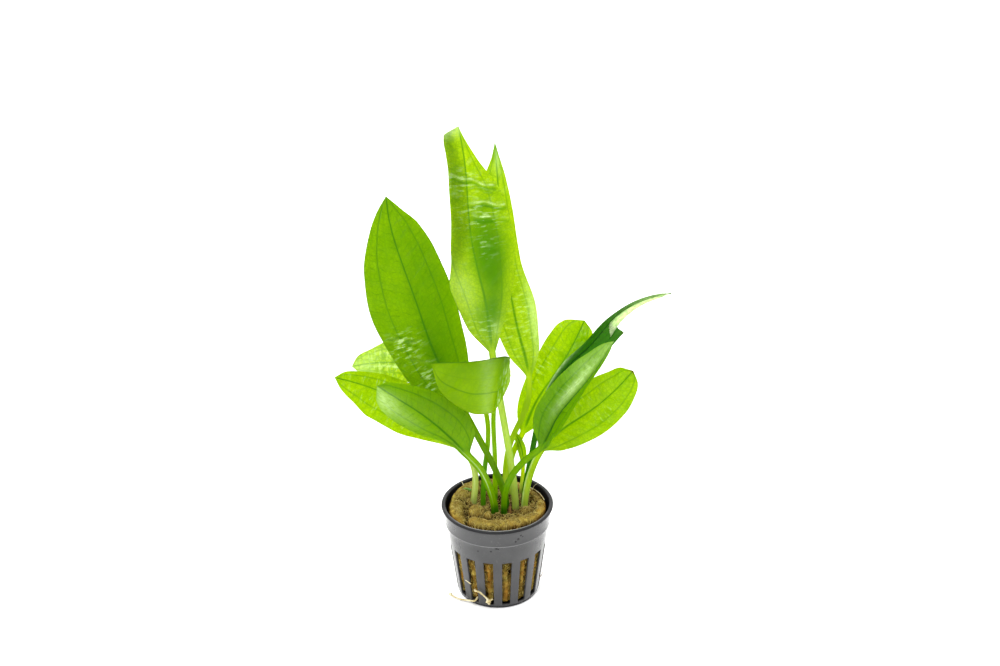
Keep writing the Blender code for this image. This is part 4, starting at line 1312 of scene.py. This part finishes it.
def wool_height(x, y):
    forms = wool_forms(x, y)
    peak = forms[-1]
    soft = peak + WOOL_BLEND * np.log(np.exp((forms - peak) / WOOL_BLEND).sum(axis=0))
    return soft - WOOL_CREASE * wool_crease(forms)


def wool_cavity(x, y):
    """How far the top lies below its surroundings, in mm."""
    turns = np.linspace(0, 2 * math.pi, 10, endpoint=False)
    around = [wool_height(x + 2.2 * math.cos(a), y + 2.2 * math.sin(a)) for a in turns]
    return np.mean(around, axis=0) - wool_height(x, y)


def wool_edge(turn):
    return WOOL_TOP_RADIUS - 0.4 * np.sin(turn - 0.4) - 0.3 * np.cos(3 * turn)


def wool_push(point):
    """How far a point of the wool stands out, and how deep it lies in a pit, which the material
    darkens as painted shade.
    """
    x, y, z = point
    lump = rough_at((x, y, 1.5 * z), 4.5, 3)
    pit = min(0.0, rough_at((x + 40, y, z), 2.4, 3) + 0.25)
    grain = rough_at((x, y + 40, z), 0.8, 2)
    return 0.65 * lump + 1.5 * pit + 0.3 * grain, -1.6 * pit - 0.35 * lump


def wool_marks(points, side):
    """Patches of the wool at each point: how mossy, how rusty (partly painted shade), and where a gap
    is shown by painted shade.
    """
    marks = {kind: np.zeros(len(points)) for kind in ("moss", "rust_and_shade", "shaded_gap")}
    x, y, z = points.T
    top = np.arange(len(points)) >= side
    for kind, rows in WOOL_TOP_MARKS.items():
        for mark_x, mark_y, radius, strength in rows:
            away = ((x - mark_x) ** 2 + (y - mark_y) ** 2) / radius**2
            marks[kind] += strength * np.exp(-(away**1.5)) * top
    # painted shade in the hollow round each stalk's foot
    for table in LEAVES.values():
        foot_x, foot_y, _ = table["spine"][1]
        away = ((x - foot_x) ** 2 + (y - foot_y) ** 2) / (table["stalk"] + 1.1) ** 2
        marks["shaded_gap"] += 0.7 * np.exp(-(away**2)) * top
    around = np.arctan2(x, -y)
    for kind, rows in WOOL_SLOT_MARKS.items():
        for slot, height, sideways, up, wide in rows:
            off = (around - SLOT_TURN - slot * SLOT_PITCH) * np.hypot(x, y) - sideways
            away = (off / wide) ** 2 + ((z - height) / up) ** 2
            marks[kind] += np.exp(-(away**1.5)) * ~top
    return marks


def in_slot(x, y, z):
    """1 in the middle of a slot, 0 behind a rib."""
    turn = math.atan2(x, -y) - SLOT_TURN + SLOT_PITCH / 2
    off = abs(turn % SLOT_PITCH - SLOT_PITCH / 2) * math.hypot(x, y)
    height = min(z - SLOT_BOTTOM - 1, SLOT_TOP - 1 - z)
    return max(0.0, min(1.0, 1.6 - off)) * max(0.0, min(1.0, height))


def wool_grid():
    """Points up the plug's side and in over its top, and how many of them are on the side."""
    turns = np.linspace(0, 2 * math.pi, WOOL_TURNS, endpoint=False)
    rows = []
    for z in np.linspace(FLOOR_THICKNESS + 0.6, WOOL_SIDE_TOP, WOOL_SIDE_ROWS):
        radius = body_radius(z) - POT_WALL - WOOL_INSET - 1.4 * max(0, 4 - z) / 4
        rows.append(np.stack([radius * np.cos(turns), radius * np.sin(turns), z + 0 * turns], 1))
    edge = wool_edge(turns)
    for part in np.linspace(1, 0.02, WOOL_TOP_ROWS):
        x, y = part * edge * np.cos(turns), part * edge * np.sin(turns)
        rows.append(np.stack([x, y, wool_height(x, y)], 1))
    return np.concatenate(rows), WOOL_SIDE_ROWS * WOOL_TURNS


def roughened(smooth, side, gaps):
    """The points pushed out into lumps and pits, and how deep in a pit each one lies."""
    points = smooth.copy()
    depths = []
    for i, (x, y, z) in enumerate(smooth):
        push, depth = wool_push((x, y, z))
        depths.append(depth)
        if i >= side:
            points[i, 2] += push
        else:
            bulge = in_slot(x, y, z) * (1 - 1.6 * gaps[i])
            out = min(1.5 * push - 0.2 + 1.1 * bulge, 0.55 + 0.9 * bulge)
            points[i, :2] *= 1 + out / math.hypot(x, y)
    return points, np.array(depths)


def build_wool():
    smooth, side = wool_grid()
    marks = wool_marks(smooth, side)
    points, depths = roughened(smooth, side, marks["shaded_gap"])
    x, y, _ = smooth[side:].T
    cavity = wool_cavity(x, y)
    # Painted shade: darker in pits, gaps, creases between forms and where the top lies below its
    # surroundings.
    depths += 0.9 * marks["shaded_gap"]
    depths[side:] += 0.8 * wool_crease(wool_forms(x, y))
    depths[side:] += 0.7 * np.clip(cavity / 0.9, 0, 1)
    # painted shade, rust-brown, on the rolls' undersides near the rim
    out = np.hypot(x, y) / wool_edge(np.arctan2(y, x))
    marks["rust_and_shade"][side:] += 0.8 * smooth_step((out - 0.88) / 0.12)
    faces = ring_faces(WOOL_SIDE_ROWS + WOOL_TOP_ROWS, WOOL_TURNS)
    # painted highlight: lighter where the top stands above its surroundings
    crown = np.concatenate([np.zeros(side), -cavity / 0.8])
    values = {"depth": depths, "rust_and_shade": marks["rust_and_shade"], "moss": marks["moss"], "crown": crown}
    values = {kind: np.clip(numbers, 0, 1) for kind, numbers in values.items()}
    new_piece("wool_plug", points, faces, wool_material(), "mineral_wool", values)


def tube(route, radii, sides=3):
    """Points and faces of a thin closed tube along a route."""
    route = np.asarray(route, float)
    along = unit(np.gradient(route, axis=0))
    aside = unit(np.cross(along, (0.31, 0.17, 0.94)))
    up = np.cross(along, aside)
    turns = np.linspace(0, 2 * math.pi, sides, endpoint=False)
    ring = np.cos(turns)[None, :, None] * aside[:, None] + np.sin(turns)[None, :, None] * up[:, None]
    points = route[:, None] + ring * np.broadcast_to(radii, len(route))[:, None, None]
    return points.reshape(-1, 3), ring_faces(len(route), sides)


def joined(tubes):
    """Points and faces of several tubes as one mesh, and which tube each point is of."""
    points, faces, owner = [], [], []
    start = 0
    for index, (tube_points, tube_faces) in enumerate(tubes):
        points.append(tube_points)
        faces += [tuple(start + v for v in face) for face in tube_faces]
        owner += [index] * len(tube_points)
        start += len(tube_points)
    return np.concatenate(points), faces, np.array(owner)


def fibre_arch():
    """0 at a fibre's ends, 1 in its middle, at each of its points."""
    return [math.sin(math.pi * i / (FIBRE_POINTS - 1)) for i in range(FIBRE_POINTS)]


def fibres_on_top(draw, count):
    """Routes of short bent fibres that lie on the plug's top."""
    turn = draw.uniform(0, 2 * math.pi, count)
    reach = np.sqrt(draw.uniform(0, 1, count)) * (WOOL_TOP_RADIUS - 1.5)
    heading = draw.uniform(0, 2 * math.pi, count)
    bend = draw.normal(0, 0.35, count)
    rise = draw.uniform(0.1, 0.6, count)
    x, y = reach * np.cos(turn), reach * np.sin(turn)
    steps = []
    for arch in fibre_arch():
        heading = heading + bend
        x = x + FIBRE_STEP_TOP * np.cos(heading)
        y = y + FIBRE_STEP_TOP * np.sin(heading)
        z = wool_height(x, y)
        push = np.array([wool_push(p)[0] for p in zip(x, y, z)])
        steps.append(np.stack([x, y, z + push + rise * arch], axis=1))
    routes = np.stack(steps, axis=1)
    inside = np.hypot(routes[..., 0], routes[..., 1]).max(axis=1) < WOOL_TOP_RADIUS - 0.6
    return list(routes[inside])


def fibre_on_side(draw):
    """Route of a fibre that stands out of the plug in one of the slots."""
    slot = draw.integers(SLOTS)
    turn = SLOT_TURN + slot * SLOT_PITCH + draw.uniform(-0.08, 0.08)
    z = draw.uniform(SLOT_BOTTOM + 1, SLOT_TOP - 2)
    lean = draw.normal(0, 0.6)
    out = draw.uniform(0.2, 0.9)
    route = []
    for arch in fibre_arch():
        z += FIBRE_STEP_SIDE * math.cos(lean)
        turn += FIBRE_STEP_SIDE * math.sin(lean) / body_radius(z)
        lean += draw.normal(0, 0.25)
        radius = body_radius(z) - POT_WALL - WOOL_INSET + 0.2 + out * arch
        route.append((radius * math.sin(turn), -radius * math.cos(turn), z))
    return route


def build_fibres():
    draw = np.random.default_rng(7)
    routes = fibres_on_top(draw, 2 * FIBRES // 3)
    routes += [fibre_on_side(draw) for _ in range(FIBRES // 3)]
    tubes = [tube(route, draw.uniform(0.05, 0.11)) for route in routes]
    tones = draw.uniform(0, 1, len(tubes)) ** 1.5
    points, faces, owner = joined(tubes)
    values = {"tone": tones[owner]}
    new_piece("wool_fibres", points, faces, fibre_material(), None, values)


# ---------------------------------------------------------------- roots


def build_roots(look):
    for name, table in ROOTS.items():
        at, knots = spline(table)
        s = np.linspace(0, knots[-1], 60)
        knobs = np.array([rough_at((v * 0.9, 3.0, 1.0), 1.0, 2) for v in s])
        radii = ROOT_RADIUS * (1 - 0.25 * s / knots[-1]) * (1 + 0.25 * knobs)
        before_end, size, length = ROOT_ENDS[name]
        radii += size * (1 + 0.8 * knobs) * np.exp(-(((knots[-1] - before_end - s) / length) ** 2))
        points, faces = tube(at(s), radii, 12)
        new_piece(name + "_skin", points, faces, look, name)


def build_strays(root_look):
    looks = {
        "root": root_look,
        "brown": patchy_material("dead_sheath_skin", (0.10, 0.04, 0.01), (0.26, 0.13, 0.03)),
        "green": patchy_material("sprout_skin", (0.04, 0.12, 0.004), (0.12, 0.26, 0.01)),
    }
    for kind, look in looks.items():
        tubes = []
        for _, radii, route in [row for row in STRAYS if row[0] == kind]:
            at, knots = spline(route)
            s = np.linspace(0, knots[-1], 16)
            tubes.append(tube(at(s), np.linspace(*radii, 16), 8))
        points, faces, _ = joined(tubes)
        new_piece("stray_" + kind, points, faces, look, None)


# ---------------------------------------------------------------- stage


def build_floor():
    mesh = bpy.data.meshes.new("floor")
    h = FLOOR_SIZE / 2
    mesh.from_pydata([(-h, -h, 0), (h, -h, 0), (h, h, 0), (-h, h, 0)], [], [(0, 1, 2, 3)])
    mesh.materials.append(floor_material())
    floor = bpy.data.objects.new("floor", mesh)
    bpy.context.scene.collection.objects.link(floor)


def build_dome():
    """A white sky, bright on one side and dim on the other."""
    world = bpy.data.worlds.new("studio")
    bpy.context.scene.world = world
    n = Nodes(world)
    directions = {0: n.place("Generated"), 1: DOME_SIDE}
    toward = n.add("ShaderNodeVectorMath", directions, operation="DOT_PRODUCT").outputs["Value"]
    background = n.tree.nodes["Background"]
    n.set(background.inputs["Color"], (1, 1, 1))
    n.set(background.inputs["Strength"], n.smooth(toward, *DOME_EDGES, DOME_DIM, DOME_BRIGHT))


def build_lights():
    for name, (place, target, width, height, power) in LIGHTS.items():
        light = bpy.data.lights.new(name, "AREA")
        light.shape = "RECTANGLE"
        light.size = width
        light.size_y = height
        light.energy = power
        lamp = bpy.data.objects.new(name, light)
        lamp.location = place
        lamp.rotation_euler = (Vector(target) - Vector(place)).to_track_quat("-Z", "Y").to_euler()
        bpy.context.scene.collection.objects.link(lamp)


def build_camera():
    data = bpy.data.cameras.new("camera")
    data.lens = CAMERA_LENS
    data.sensor_width = CAMERA_SENSOR
    data.sensor_fit = "HORIZONTAL"
    data.clip_start = 0.01
    camera = bpy.data.objects.new("camera", data)
    turn = Matrix.Rotation(math.pi / 2 - CAMERA_TILT, 4, "X") @ Matrix.Rotation(-CAMERA_ROLL, 4, "Z")
    camera.matrix_world = Matrix.Translation(CAMERA_PLACE) @ turn
    bpy.context.scene.collection.objects.link(camera)
    bpy.context.scene.camera = camera


def main():
    bpy.context.scene.view_settings.view_transform = "Standard"
    build_camera()
    build_floor()
    build_dome()
    build_lights()
    for name in LEAVES:
        if name == "leaf_arching_right":
            build_torn_leaf(name)
        else:
            build_leaf(name)
    build_pot()
    build_wool()
    build_fibres()
    roots = patchy_material("root_skin", (0.42, 0.33, 0.13), (0.76, 0.70, 0.46), 300, 0.55)
    build_roots(roots)
    build_strays(roots)


main()
